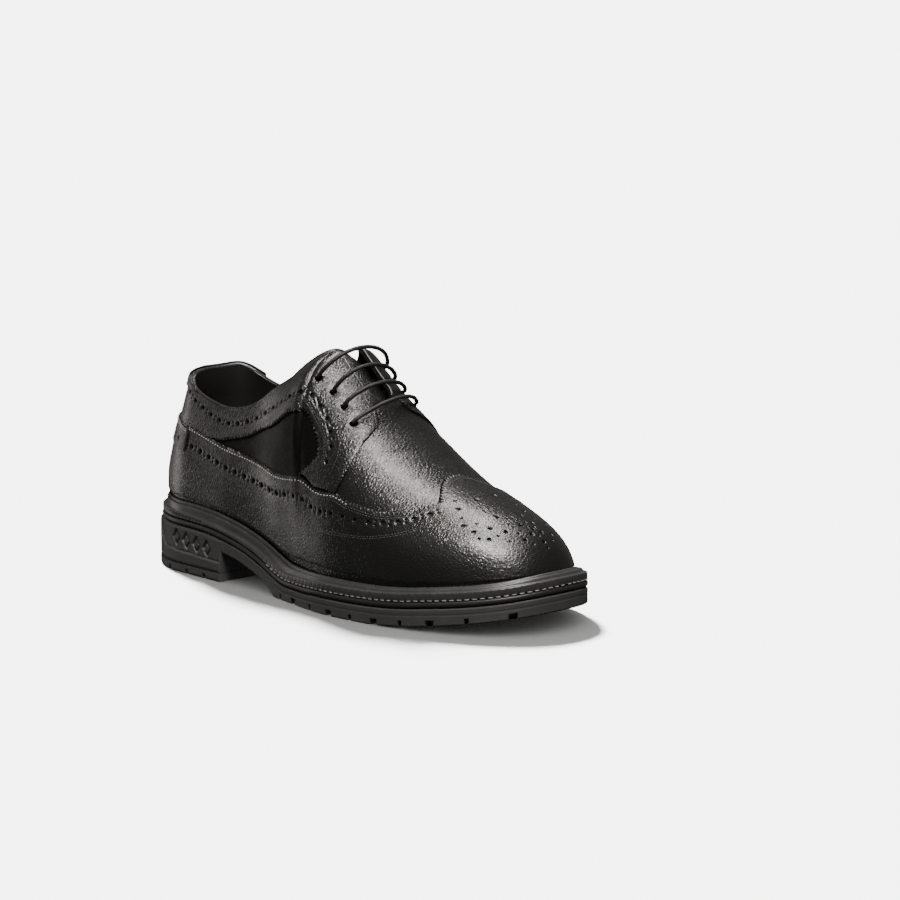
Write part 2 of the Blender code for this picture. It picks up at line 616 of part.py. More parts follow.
# Longwing: covers the toe with a peak and runs on along both sides to the back seam.
WING_LEATHER = material("wing leather", (0.012, 0.012, 0.012), 0.36)
r = np.concatenate([np.linspace(0, 0.66, 16), (0.69, 0.715, 0.735, 0.785, 0.80),
                    np.linspace(WING_PEAK, 1, 7)])
q, pairs = round_the_shoe(r)
foot_r = np.where(q > 1, 2 - q, q)
top_q = np.where(q > 1, 2 - WING("station", foot_r), WING("station", foot_r))
share = np.array([0.0, 0.33, 0.67, 1.0])
Q = q[:, None] + (top_q - q)[:, None] * share
H = -0.06 + (np.clip(WING("height", foot_r), 0, 1) + 0.06)[:, None] * share
H[foot_r >= WING_PEAK, -1] = 1.0
weld = [(i, j) for i, j in pairs if r[i] >= WING_PEAK - 1e-6]
weld.append((len(r) - 1, len(r) - 1))
wing = only(shell("wing", *OVERLAY, WING_LEATHER), Q, H, closed=True, weld=weld)

# Quarters: collar band and eyelet facing in one piece each side, round a plain window.
QUARTER_LEATHER = material("facing leather", (0.013, 0.013, 0.013), 0.42)
way = np.linspace(0, 18, 22)
near_q, near_h = QUARTER("station", way), QUARTER("height", way)
far_q = QUARTER("far_station", way)
quarters = []
for word, side0 in (("lateral", -1), ("medial", 1)):
    end = top_height(far_q, np.full(way.shape, side0)) + 0.04
    far_h = np.minimum(QUARTER("far_height", way), 1.0)
    far_h = np.where(far_h > end - 0.05, end, far_h)
    across = np.array([0.0, 0.35, 0.7, 1.0])
    Q = near_q[:, None] + (far_q - near_q)[:, None] * across
    H = near_h[:, None] + (far_h - near_h)[:, None] * across
    quarters.append(only(shell("quarter_" + word, *OVERLAY, QUARTER_LEATHER),
                         Q if side0 < 0 else 2 - Q, H))

# Back tab over the collar and the perforated patch over the back seam.
PATCH_LEATHER = material("back leather", (0.014, 0.014, 0.014), 0.40)
q = np.linspace(-0.235, 0.235, 7)
low = 0.86 + 0.125 * (np.abs(q) / 0.235)**1.6
Q = np.repeat(q[:, None], 3, 1)
H = low[:, None] + (1.04 - low)[:, None] * np.array([0.0, 0.5, 1.0])
back_tab = only(shell("back_tab", *TOP_LAYER, PATCH_LEATHER), Q, H)
Q, H = np.meshgrid(q, np.array([0.445, 0.55, 0.655]), indexing="ij")
back_patch = only(shell("back_patch", *TOP_LAYER, PATCH_LEATHER), Q, H)

# Tongue: stands in the throat under the lace, its top edge cut square to the ridge.
def tongue_face(extra):
    """Rows across the tongue, each an arch that hangs down to both edges."""
    t = np.linspace(-1, 1, 11) * TONGUE_BEND
    rows = []
    for place, half, depth, drop in TONGUE[1:]:
        y = (half - 0.6 * extra) * np.sin(t) / np.sin(TONGUE_BEND)
        w = -depth - extra - drop * (1 - np.cos(t)) / (1 - np.cos(TONGUE_BEND))
        rows.append(RIDGE_AT + RIDGE_UP * place + w[:, None] * RIDGE_OUT
                    + y[:, None] * np.array([0.0, 1.0, 0.0]))
    return np.array(rows)


TONGUE_LEATHER = material("tongue leather", (0.013, 0.013, 0.013), 0.42)
sheet("tongue", tongue_face(0.0), tongue_face(TONGUE_THICK), TONGUE_LEATHER)


def eyelet(k, side0, off):
    r0, h0 = EYELETS[k]
    q0 = np.array([r0 if side0 < 0 else 2 - r0])
    return surface(q0, np.array([h0]), np.array([off]))[0]


def drill(home):
    """Eight eyelet holes, each along the leather's own normal."""
    tools = []
    for k in range(4):
        for s in (-1, 1):
            low, high = eyelet(k, s, -4.0), eyelet(k, s, 4.0)
            axis = Vector(high - low).normalized()
            bpy.ops.mesh.primitive_cylinder_add(vertices=10, radius=EYELET * MM,
                                                depth=9.0 * MM)
            tool = bpy.context.object
            tool.name = "cutter"
            turn = axis.to_track_quat("Z", "Y").to_matrix().to_4x4()
            turn.translation = Vector(((low + high) / 2 - MIDDLE) * MM)
            tool.data.transform(turn)
            for col in list(tool.users_collection):
                col.objects.unlink(tool)
            CUTTERS.objects.link(tool)
            tools.append(tool)
    return tools


for piece in (upper, *quarters):
    cut(piece, drill(piece))

for piece in [outsole, heel_lift, upper, wing, *quarters, back_tab, back_patch]:
    merge_flat(piece)

# Lace: one waxed cord in four bars; its ends go inside and stop at the top eyelet.
UNDER, OVER, ASIDE = -4.1, 3.0, 0.045


def lane(k, j, side0, shift, count):
    """Points along the inside of the leather from eyelet k to eyelet j on one side."""
    t = np.linspace(0, 1, count + 2)[1:-1]
    (r0, h0), (r1, h1) = EYELETS[k], EYELETS[j]
    r, h = r0 + (r1 - r0) * t, h0 + (h1 - h0) * t - shift
    return list(surface(r if side0 < 0 else 2 - r, h, np.full(t.shape, UNDER)))


def bar(k, start):
    """The bar from eyelet k on the start side over the throat to the one opposite."""
    ends = [eyelet(k, -1, OVER), eyelet(k, 1, OVER)]
    guides = np.array(BARS[1 + k])
    mids = []
    for (y, w), end in zip(guides.reshape(2, 2), ends):
        place = (end - RIDGE_AT) @ RIDGE_UP
        mids.append(RIDGE_AT + RIDGE_UP * place + RIDGE_OUT * w + np.array([0.0, y, 0.0]))
    t = np.linspace(0, 1, 7)[:, None]
    way = ((1 - t)**3 * ends[0] + 3 * (1 - t)**2 * t * mids[0] + 3 * (1 - t) * t**2 * mids[1]
           + t**3 * ends[1])
    return list(way if start < 0 else way[::-1])


path = lane(0, 1, -1, 0.0, 3)[1::-1]
hand = -1
for k in range(4):
    path += [eyelet(k, hand, UNDER)] + bar(k, hand) + [eyelet(k, -hand, UNDER)]
    if k < 3:
        path += lane(k, k + 1, -hand, 0.0, 2)
    hand = -hand
path += lane(3, 0, hand, ASIDE, 4)


def rounded(path, size):
    """Every corner of the path is cut off and the way across it curved."""
    points = [path[0]]
    for a, b, c in zip(path, path[1:], path[2:]):
        u, v = a - b, c - b
        long_u, long_v = np.linalg.norm(u), np.linalg.norm(v)
        bend = np.degrees(np.arccos(np.clip(-(u @ v) / (long_u * long_v), -1, 1)))
        p = b + u * min(size / long_u, 0.45)
        w = b + v * min(size / long_v, 0.45)
        if bend < 22:
            points.append(b)
        else:
            for t in np.linspace(0, 1, 2 if bend < 60 else 3):
                points.append((1 - t)**2 * p + 2 * (1 - t) * t * b + t**2 * w)
    return np.array(points + [path[-1]])


points = rounded(path, 2.0)
data = bpy.data.curves.new("lace_way", "CURVE")
data.dimensions = "3D"
data.bevel_depth = LACE * MM
data.bevel_resolution = 1
data.use_fill_caps = True
spline = data.splines.new("POLY")
spline.points.add(len(points) - 1)
for point, p in zip(spline.points, points):
    point.co = (*((p - MIDDLE) * MM), 1.0)
way = bpy.data.objects.new("lace_way", data)
CUTTERS.objects.link(way)
mesh = bpy.data.meshes.new_from_object(way)
bpy.data.objects.remove(way, do_unlink=True)
mesh.name = "lace"
bm = bmesh.new()
bm.from_mesh(mesh)
bmesh.ops.remove_doubles(bm, verts=bm.verts, dist=0.00002)
bmesh.ops.triangulate(bm, faces=bm.faces)
bmesh.ops.recalc_face_normals(bm, faces=bm.faces)
bm.to_mesh(mesh)
bm.free()
mesh.materials.clear()
mesh.materials.append(material("lace cord", (0.010, 0.010, 0.010), 0.45))
SHOE.objects.link(bpy.data.objects.new("lace", mesh))
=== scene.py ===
"""Brogue shoe for the right foot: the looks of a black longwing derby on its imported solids.

The file follows the shoe as it is made up: rubber sole, welt, insole, upper, the leather laid
over it, tongue, lace, then the floor, the lights and the camera. Shoe sizes are millimetres.
"""

import bmesh
import bpy
import numpy as np
from mathutils import Matrix, Vector
from mathutils.geometry import delaunay_2d_cdt


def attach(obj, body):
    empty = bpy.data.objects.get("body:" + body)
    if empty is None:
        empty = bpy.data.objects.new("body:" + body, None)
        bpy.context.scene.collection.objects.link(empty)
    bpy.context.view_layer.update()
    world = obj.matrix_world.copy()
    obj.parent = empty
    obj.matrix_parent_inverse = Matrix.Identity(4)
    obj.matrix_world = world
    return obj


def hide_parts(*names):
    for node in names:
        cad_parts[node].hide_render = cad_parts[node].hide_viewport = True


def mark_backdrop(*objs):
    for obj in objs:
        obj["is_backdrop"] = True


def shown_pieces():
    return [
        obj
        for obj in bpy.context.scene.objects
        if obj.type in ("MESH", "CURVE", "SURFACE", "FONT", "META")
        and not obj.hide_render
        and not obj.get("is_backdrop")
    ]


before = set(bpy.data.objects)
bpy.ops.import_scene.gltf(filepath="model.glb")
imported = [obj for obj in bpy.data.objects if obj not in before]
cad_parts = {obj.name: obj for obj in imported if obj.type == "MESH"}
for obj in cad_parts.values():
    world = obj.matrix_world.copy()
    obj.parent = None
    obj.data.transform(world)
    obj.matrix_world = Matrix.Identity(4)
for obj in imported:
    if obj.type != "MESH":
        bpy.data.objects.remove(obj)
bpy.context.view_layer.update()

# Outsole: one moulding of matt black rubber with the heel block, sunk side panels, four
# lozenges a side, notched lower edge and cross bars underneath. Its edge is the shoe's
# outline, so the outline and the mesh makers stand here.
MM = 0.001
LENGTH = 306.0
HEEL_ROUND, HEEL_POWER = 0.14, 2.2
TOE_ROUND, TOE_POWER = 0.34, 2.38
BREAST = 81.5
STEP_BACK, STEP_FRONT = 125.0, 133.0
SPRING_FROM, SPRING, SPRING_POWER = 215.0, 11.5, 1.65
HEEL_FRAME = 1.3


def curve(xs, ys, x):
    """Smooth curve through the rows: cubic Hermite, slopes from the neighbouring rows."""
    x = np.clip(np.asarray(x, float), xs[0], xs[-1])
    step, rise = np.diff(xs), np.diff(ys)
    slope = rise / step
    m = np.concatenate([slope[:1], (slope[:-1] * step[1:] + slope[1:] * step[:-1])
                        / (step[:-1] + step[1:]), slope[-1:]])
    i = np.clip(np.searchsorted(xs, x) - 1, 0, len(xs) - 2)
    t = (x - xs[i]) / step[i]
    return ((2 * t**3 - 3 * t**2 + 1) * ys[i] + (t**3 - 2 * t**2 + t) * step[i] * m[i]
            + (3 * t**2 - 2 * t**3) * ys[i + 1] + (t**3 - t**2) * step[i] * m[i + 1])


def table(names, *rows):
    """A table of named columns; the first one is the place, the others are read there."""
    names = names.split()
    cols = dict(zip(names, np.array(rows, float).T))
    return lambda name, place: curve(cols[names[0]], cols[name], place)


# Sole outline in plan: half widths from a centre line that swings inwards at the toe.
OUTLINE = table(
    "share lateral medial centre",
    (0.00, 31.0, 31.5, -1.0),
    (0.12, 35.3, 35.3, -1.0),
    (0.25, 38.3, 36.3, -1.0),
    (0.40, 41.9, 32.3, -1.0),
    (0.50, 49.0, 36.8, -1.0),
    (0.60, 55.6, 45.9, -0.4),
    (0.68, 56.3, 53.5, 0.4),
    (0.80, 56.0, 56.0, 2.5),
    (1.00, 56.5, 55.5, 7.9))

# Heights of the sole's lines, worked out from the heel to the toe.
SOLE = table(
    "x parting groove feather",
    (0.0, 28.6, 37.2, 43.4),
    (27.0, 27.6, 36.0, 42.4),
    (82.0, 24.4, 31.3, 38.6),
    (100.0, 20.6, 27.8, 34.6),
    (116.0, 15.8, 23.4, 29.6),
    (130.0, 11.0, 19.0, 24.6),
    (141.0, 8.4, 16.6, 21.4),
    (156.0, 7.9, 16.4, 20.0),
    (180.0, 8.8, 17.5, 20.2),
    (207.0, 9.2, 18.0, 20.3),
    (236.0, 10.4, 19.3, 21.3),
    (258.0, 12.8, 21.8, 23.6),
    (281.0, 15.6, 24.6, 26.4),
    (297.0, 18.4, 27.4, 29.4),
    (306.0, 20.6, 29.6, 31.8))


def share_at(r):
    """Share of the length at a station r: stations crowd together round heel and toe."""
    return (1 - np.cos(np.pi * np.asarray(r, float))) / 2


def station_at(x):
    """The station whose point on the outline has this x."""
    return np.arccos(1 - 2 * np.asarray(x, float) / LENGTH) / np.pi


def edge(r, side):
    """Point of the outsole's outline: side -1 is lateral (outer), +1 is medial (inner)."""
    s = share_at(r)
    half = np.where(side < 0, OUTLINE("lateral", s), OUTLINE("medial", s))
    back = np.clip((HEEL_ROUND - s) / HEEL_ROUND, 0, 1)
    front = np.clip((s - 1 + TOE_ROUND) / TOE_ROUND, 0, 1)
    cap = (1 - back**HEEL_POWER)**(1 / HEEL_POWER) * (1 - front**TOE_POWER)**(1 / TOE_POWER)
    return np.stack([s * LENGTH, OUTLINE("centre", s) + side * half * cap], -1)


def outward(r, side):
    """Unit vector out of the outline, in plan."""
    step = 1e-4
    d = edge(np.clip(r + step, 0, 1), side) - edge(np.clip(r - step, 0, 1), side)
    n = np.stack([-d[..., 1], d[..., 0]], -1) * np.asarray(side)[..., None]
    n[..., 1] = np.where((r < step) | (r > 1 - step), 0.0, n[..., 1])
    return n / np.linalg.norm(n, axis=-1, keepdims=True)


def inset(r, side, distance):
    """Point of the outline moved inwards by a distance, square to the edge."""
    return edge(r, side) - np.asarray(distance, float)[..., None] * outward(r, side)


def feather_inset(x):
    """How far the upper stands in from the sole's edge."""
    return np.interp(x, (0.0, 80.0, 150.0, 306.0), (5.2, 5.6, 7.6, 8.2))


def floor_at(x):
    """The tread's height: flat, then a power curve up under the toe."""
    rise = np.clip((x - SPRING_FROM) / (LENGTH - SPRING_FROM), 0, 1)
    return SPRING * rise**SPRING_POWER


ends = np.concatenate([edge(np.linspace(0, 1, 400), np.full(400, s)) for s in (-1, 1)])
MIDDLE = np.array([(LENGTH - HEEL_FRAME) / 2, (ends[:, 1].min() + ends[:, 1].max()) / 2, 0.0])
ARC_R = np.linspace(0, 1, 4001)
ARC = np.concatenate([[0], np.cumsum(np.linalg.norm(
    np.diff(edge(ARC_R, np.full(4001, -1.0)), axis=0), axis=1))])


def soft(a, width):
    """0 to 1 as a passes from -width/2 to width/2, with no corner."""
    t = np.clip(a / width + 0.5, 0, 1)
    return t * t * (3 - 2 * t)


def grid_faces(n, m, ring_n=False, ring_m=False):
    """Quads of a grid of n columns by m rows; a ring joins the last one to the first."""
    i = np.arange(n if ring_n else n - 1)[:, None]
    k = np.arange(m if ring_m else m - 1)[None]
    j, l = (i + 1) % n, (k + 1) % m
    return np.stack([i * m + k, j * m + k, j * m + l, i * m + l], -1).reshape(-1, 4)


def piece(name, points, faces, finish, stands_for=(), weld=0.02, kinds=None, mixed=False):
    """A closed mesh in shoe millimetres, its doubles merged and its faces turned outwards.
    kinds gives each face the number of its material. mixed says that walls or a cap were
    added whose faces may wind the other way, so each face is turned by itself."""
    mesh = bpy.data.meshes.new(name)
    places = (np.asarray(points, float).reshape(-1, 3) - MIDDLE) * MM
    mesh.from_pydata(places.tolist(), [], [tuple(map(int, face)) for face in faces])
    if kinds is not None:
        mesh.polygons.foreach_set("material_index", kinds)
    bm = bmesh.new()
    bm.from_mesh(mesh)
    bmesh.ops.remove_doubles(bm, verts=bm.verts, dist=weld * MM)
    if mixed:
        bmesh.ops.triangulate(bm, faces=[f for f in bm.faces if len(f.verts) > 4])
        bmesh.ops.recalc_face_normals(bm, faces=bm.faces)
    else:
        bmesh.ops.dissolve_degenerate(bm, edges=bm.edges, dist=1e-6)
        if bm.calc_volume(signed=True) < 0:
            bmesh.ops.reverse_faces(bm, faces=bm.faces)
    bm.to_mesh(mesh)
    bm.free()
    mesh.shade_smooth()
    obj = bpy.data.objects.new(name, mesh)
    bpy.context.scene.collection.objects.link(obj)
    mesh.materials.append(finish)
    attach(obj, "root")
    if stands_for:
        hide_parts(*stands_for)
    return obj


def sharp(obj, degrees):
    """Edges bent by more than this stay sharp; the rest is smooth."""
    bm = bmesh.new()
    bm.from_mesh(obj.data)
    limit = float(np.radians(degrees))
    for e in bm.edges:
        e.smooth = len(e.link_faces) == 2 and e.calc_face_angle(0.0) < limit
    bm.to_mesh(obj.data)
    bm.free()
    return obj


def stack(name, r, rows, finish, stands_for=(), across=2, top=None, base=None, cap=False):
    """A solid cut into stations: up the lateral edge, across the top, down the medial edge
    and back underneath. rows are (inset, z) pairs of shape (stations, rows) for each side;
    top and base give the relief of the faces across as functions of x and y. cap closes the
    last station with one flat face."""
    sides = []
    for side, (e, z) in zip((-1.0, 1.0), rows):
        s = np.full(e.shape, side)
        place = inset(np.broadcast_to(r[:, None], e.shape), s, e)
        sides.append(np.concatenate([place, z[..., None]], -1))
    lateral, medial = sides
    t = np.linspace(0, 1, across + 2)[None, 1:-1, None]
    over = lateral[:, -1:] * (1 - t) + medial[:, -1:] * t
    under = medial[:, :1] * (1 - t) + lateral[:, :1] * t
    if top:
        over[..., 2] += top(over[..., 0], over[..., 1])
    if base:
        under[..., 2] += base(under[..., 0], under[..., 1])
    loops = np.concatenate([lateral, over, medial[:, ::-1], under], 1)
    n, m = loops.shape[:2]
    faces = [tuple(f) for f in grid_faces(n, m, ring_m=True)]
    if cap:
        faces.append(tuple(range((n - 1) * m, n * m)))
    return piece(name, loops, faces, finish, stands_for, mixed=cap)


class Value:
    """A number that varies over a surface: a node's socket with Python's arithmetic."""

    def __init__(self, finish, socket):
        self.finish, self.socket = finish, socket

    def math(self, operation, *numbers):
        sockets = dict(enumerate(numbers))
        return self.finish.node("ShaderNodeMath", {"operation": operation}, sockets)

    def __add__(self, other):
        return self.math("ADD", self, other)

    def __sub__(self, other):
        return self.math("SUBTRACT", self, other)

    def __mul__(self, other):
        return self.math("MULTIPLY", self, other)

    def __rsub__(self, other):
        return self.math("SUBTRACT", other, self)

    __radd__, __rmul__ = __add__, __mul__

    def above(self, low, high):
        """0 below low, 1 above high, a smooth step between."""
        return self.finish.node("ShaderNodeMapRange", {"interpolation_type": "SMOOTHSTEP"},
                                {"Value": self, "From Min": low, "From Max": high})


class Finish:
    """A material made node by node round one Principled shader."""

    def __init__(self, name, **constants):
        self.material = bpy.data.materials.new(name)
        self.material.use_nodes = True
        self.tree = self.material.node_tree
        self.shader = self.tree.nodes["Principled BSDF"]
        for key, value in constants.items():
            self.shader.inputs[key.replace("_", " ")].default_value = value
        self.place = self.node("ShaderNodeTexCoord", out="Object")

    def node(self, kind, settings=(), sockets=(), out=0):
        made = self.tree.nodes.new(kind)
        for key, value in dict(settings).items():
            setattr(made, key, value)
        for key, value in dict(sockets).items():
            if isinstance(value, Value):
                self.tree.links.new(value.socket, made.inputs[key])
            else:
                made.inputs[key].default_value = value
        return Value(self, made.outputs[out])

    def noise(self, scale, detail, at=None):
        return self.node("ShaderNodeTexNoise", sockets={
            "Vector": at or self.place, "Scale": scale, "Detail": detail, "Roughness": 0.55})

    def stretched(self, size):
        return self.node("ShaderNodeMapping", sockets={"Vector": self.place, "Scale": size})

    def mix(self, share, dark, light):
        return self.node("ShaderNodeMix", {"data_type": "RGBA"},
                         {"Factor": share, 6: dark, 7: light}, out=2)

    def bump(self, height, depth):
        return self.node("ShaderNodeBump",
                         sockets={"Height": height, "Distance": depth, "Strength": 1.0})

    def set(self, **values):
        for key, value in values.items():
            self.tree.links.new(value.socket, self.shader.inputs[key.replace("_", " ")])
        return self.material


def rubber(name, tone, rough, grain=0.00004):
    """Matt moulded rubber: an even fine bloom, with paler dust in patches."""
    made = Finish(name, Specular_IOR_Level=0.4)
    patch = made.noise(60.0, 4.0)
    fine = made.noise(2600.0, 2.0)
    dust = patch.above(0.45, 0.75)
    colour = made.mix(dust * 0.5, (tone, tone, tone * 1.02, 1), (tone * 1.5,) * 3 + (1,))
    return made.set(Base_Color=colour, Roughness=fine * 0.10 + (dust * 0.08 + (rough - 0.05)),
                    Normal=made.bump(fine, grain))


LIFT, GAP = 5.0, 0.3
SIDE_SLOTS = (141.0, 155.0, 173.0, 190.0, 206.5, 223.5, 240.5, 258.0, 277.0, 296.0)
TREAD_BARS = (150.0, 168.0, 186.0, 204.0, 222.0, 240.0, 258.0)
LOZENGES = (38.0, 48.0, 58.0, 68.0)
ARCH = ((82.1, 17.7), (95.0, 15.4), (108.0, 11.6), (118.0, 8.3), (125.0, 6.0), (133.0, 0.0))


def arc_at(x):
    """Way along the outline, in millimetres, to the point with this x."""
    return np.interp(station_at(x), ARC_R, ARC)


def underside(x):
    """Lower face: heel seat over the lift, arch, then the tread."""
    arch = np.interp(x, *np.array(ARCH).T)
    return np.where(x <= BREAST + 0.05, LIFT + GAP, np.where(x < STEP_FRONT, arch, floor_at(x)))


def notches(arc, places, widths):
    """1 inside any of the notches along the outline, 0 outside, with steep flanks."""
    gap = np.abs(arc[..., None] - arc_at(np.array(places)))
    return soft(np.array(widths) / 2 - gap, 0.25).max(-1)


def heel_relief(arc, x, z):
    """How far the heel's side stands out: the back wrap and lower band, and the lozenges,
    each a groove round a plate."""
    band = np.interp(x, (0.0, 82.0), (14.0, 11.3))
    wrap_line = 13.0 + (24.0 - z) * 1.15
    out = np.maximum(soft(wrap_line - x, 0.5), soft(band - z, 0.5)) * HEEL_FRAME
    seam = np.minimum(np.abs(z - band), 9.0) + 9.0 * (x < wrap_line)
    out = out - 0.35 * soft(0.35 - seam, 0.4)
    for x0 in LOZENGES:
        z0 = np.interp(x0, (38.0, 68.0), (20.2, 17.6))
        way = np.abs(arc - arc_at(x0)) / 4.1 + np.abs(z - z0) / 5.4
        groove = soft(1.0 - way, 0.12) - 0.85 * soft(0.60 - way, 0.12)
        out = out - 1.3 * groove
    return out * (x < BREAST + 0.3)


slot_arc = arc_at(np.array(SIDE_SLOTS))
slot_wide = np.array([4.6 if k % 2 else 2.2 for k in range(len(SIDE_SLOTS))])
marks = np.concatenate([slot_arc + s * (slot_wide / 2 + d) for s in (-1, 1) for d in (-.13, .13)])
steps = arc_at(np.array([BREAST, BREAST + 0.6, 95.0, 108.0, STEP_BACK, STEP_FRONT]))
way = np.unique(np.concatenate([np.arange(0, arc_at(BREAST), 0.45),
                                np.arange(arc_at(BREAST), ARC[-1], 1.1), [ARC[-1]],
                                marks, steps]))
r = np.interp(way, ARC, ARC_R)
r[0], r[-1] = 0.0, 1.0
x = share_at(r) * LENGTH
low, high = underside(x), SOLE("parting", x)
share = np.concatenate([[0, 0.03, 0.06], np.linspace(0.09, 0.94, 38), [0.97, 1.0]])
z = low[:, None] + (high - low)[:, None] * share
arc2, x2 = np.broadcast_to(way[:, None], z.shape), np.broadcast_to(x[:, None], z.shape)
tread = floor_at(x2)
slot = notches(arc2, SIDE_SLOTS, slot_wide) * soft(tread + 3.2 - z, 0.3) * (x2 > STEP_FRONT)
e = 0.15 - heel_relief(arc2, x2, z) + 4.5 * slot
e = e + 0.55 * (1 - soft(share - 0.03, 0.08)) + 0.8 * soft(share - 0.965, 0.07)
e = e + 0.12 * soft(0.5 - np.abs(z - high[:, None] + 3.4), 0.5) * (x2 > STEP_FRONT)


def tread_relief(x, y):
    """Cross bars, 2.6 deep, and the lug wall round them."""
    half = np.where(x < 250, 30.0, 20.0)
    gap = np.abs(x[..., None] - np.array(TREAD_BARS)).min(-1)
    return 2.6 * soft(1.4 - gap, 0.3) * soft(half - np.abs(y - 1.0), 0.6)


OUTSOLE_RUBBER = rubber("matt outsole rubber", 0.036, 0.60)
outsole = stack("outsole_moulding", r, [(e, z), (e, z)], OUTSOLE_RUBBER,
                ("outsole",), across=34, base=tread_relief)
sharp(outsole, 38)

# Heel lift: the hard rubber top piece that meets the ground, its lower edge notched all
# round like a tyre. It is moulded apart and bonded under the heel block.
LIFT_SLOTS, LIFT_BARS = (14.0, 32.0, 50.0, 67.0), (22.0, 40.0, 58.0)
way = np.unique(np.concatenate([np.arange(0, arc_at(BREAST), 0.5), [arc_at(BREAST)]]))
r = np.interp(way, ARC, ARC_R)
x = share_at(r) * LENGTH
z = np.broadcast_to(np.array([0, 0.25, 0.6, 1.2, 1.9, 2.4, 2.7, 3.2, 4.0, 4.7, LIFT]),
                    (len(r), 11))
arc2 = np.broadcast_to(way[:, None], z.shape)
slot = notches(arc2, LIFT_SLOTS, (2.4,) * 4) * soft(2.6 - z, 0.4)
e = -HEEL_FRAME + 0.9 * (1 - soft(z - 0.5, 1.4)) + 3.2 * slot


def lift_relief(x, y):
    """Three cross grooves, 2.2 deep, as steep steps in x and y."""
    gap = np.abs(x[..., None] - np.array(LIFT_BARS)).min(-1)
    return 2.2 * soft(1.4 - gap, 0.4) * soft(18.5 - np.abs(y + 1.0), 0.6)


LIFT_RUBBER = rubber("hard heel rubber", 0.040, 0.60)
lift = stack("heel_top_piece", r, [(e, z), (e, z)], LIFT_RUBBER, ("heel_lift",),
             across=26, base=lift_relief, cap=True)
sharp(lift, 38)

# Midsole: a soft rounded band of rubber between the outsole and the welt, satin from the
# mould. A thin shadow line shows where it meets the outsole.
MIDSOLE = 4.0
way = np.linspace(0, ARC[-1], 260)
r = np.interp(way, ARC, ARC_R)
x = share_at(r) * LENGTH
turn = np.linspace(-1, 1, 11)
z = SOLE("parting", x)[:, None] + GAP + (MIDSOLE - GAP) * (turn + 1) / 2
e = 0.1 + 1.5 * np.abs(turn)**3.2 + np.zeros_like(z)
MIDSOLE_RUBBER = rubber("satin midsole rubber", 0.013, 0.46)
stack("midsole_band", r, [(e, z), (e, z)], MIDSOLE_RUBBER, ("midsole",))

# Storm welt: a strip with two beads pressed against the leather, a groove, and a face with
# small ticks. The sole stitch shows below it as pale thread round the forepart, and at the
# heel the face is pinked with wedges.
TICK_PITCH, RIB_PITCH, WEDGE_PITCH, WEDGE_END = 4.2, 1.15, 3.4, 64.0
way = np.arange(0, ARC[-1] + 0.2, 0.35)
r = np.interp(way, ARC, ARC_R)
q = np.concatenate([r, 2 - r[-2:0:-1]])
arc_q = np.concatenate([way, way[-2:0:-1]])
r, side = np.where(q <= 1, q, 2 - q), np.where(q <= 1, -1.0, 1.0)
x = share_at(r) * LENGTH
parting, groove, feather = (SOLE(name, x) for name in ("parting", "groove", "feather"))
base, tall = parting + MIDSOLE + GAP, feather - groove
inner = feather_inset(x) - 0.5
front = soft(x - 118.0, 8.0)
tick = soft(0.5 - np.abs(np.mod(arc_q, TICK_PITCH) - TICK_PITCH / 2), 0.35)
fine = 0.5 + 0.5 * np.cos(2 * np.pi * arc_q / RIB_PITCH)
wedge = np.mod(arc_q, WEDGE_PITCH) / WEDGE_PITCH * (x < WEDGE_END)
profile = [(1.1 + 0 * x, base), (0.55 + 0.0 * x, base + 0.25),
           (0.42 + 0.09 * fine * (1 - front), base + 0.7),
           (0.45 + 0.22 * tick * front + 0.9 * wedge, groove - 1.75),
           (0.48 + 0.22 * tick * front + 0.9 * wedge, groove - 1.05),
           (0.62 + 0 * x, groove - 0.72), (0.95 + 0 * x, groove - 0.5),
           (1.5 + 0 * x, groove - 0.45), (2.3 + 0 * x, groove - 0.62),
           (2.8 + 0 * x, groove - 0.35)]
bead = [(0.00, 0.15), (0.06, 0.42), (0.18, 0.62), (0.32, 0.60), (0.44, 0.40), (0.50, 0.24),
        (0.56, 0.36), (0.64, 0.72), (0.78, 0.92), (0.92, 0.84), (1.0, 0.60)]
for place, rise in bead:
    profile.append((2.9 + place * (inner - 2.9), groove + rise * tall))
profile.append((inner, base))
rings = np.stack([np.concatenate([inset(r, side, e), z[:, None]], -1) for e, z in profile], 1)
WELT_RUBBER = rubber("waxed welt", 0.030, 0.34, 0.00002)
piece("storm_welt", rings, grid_faces(*rings.shape[:2], ring_n=True, ring_m=True), WELT_RUBBER,
      ("welt",))

STITCH_TURNS, STITCH_FROM = 5, 126.0


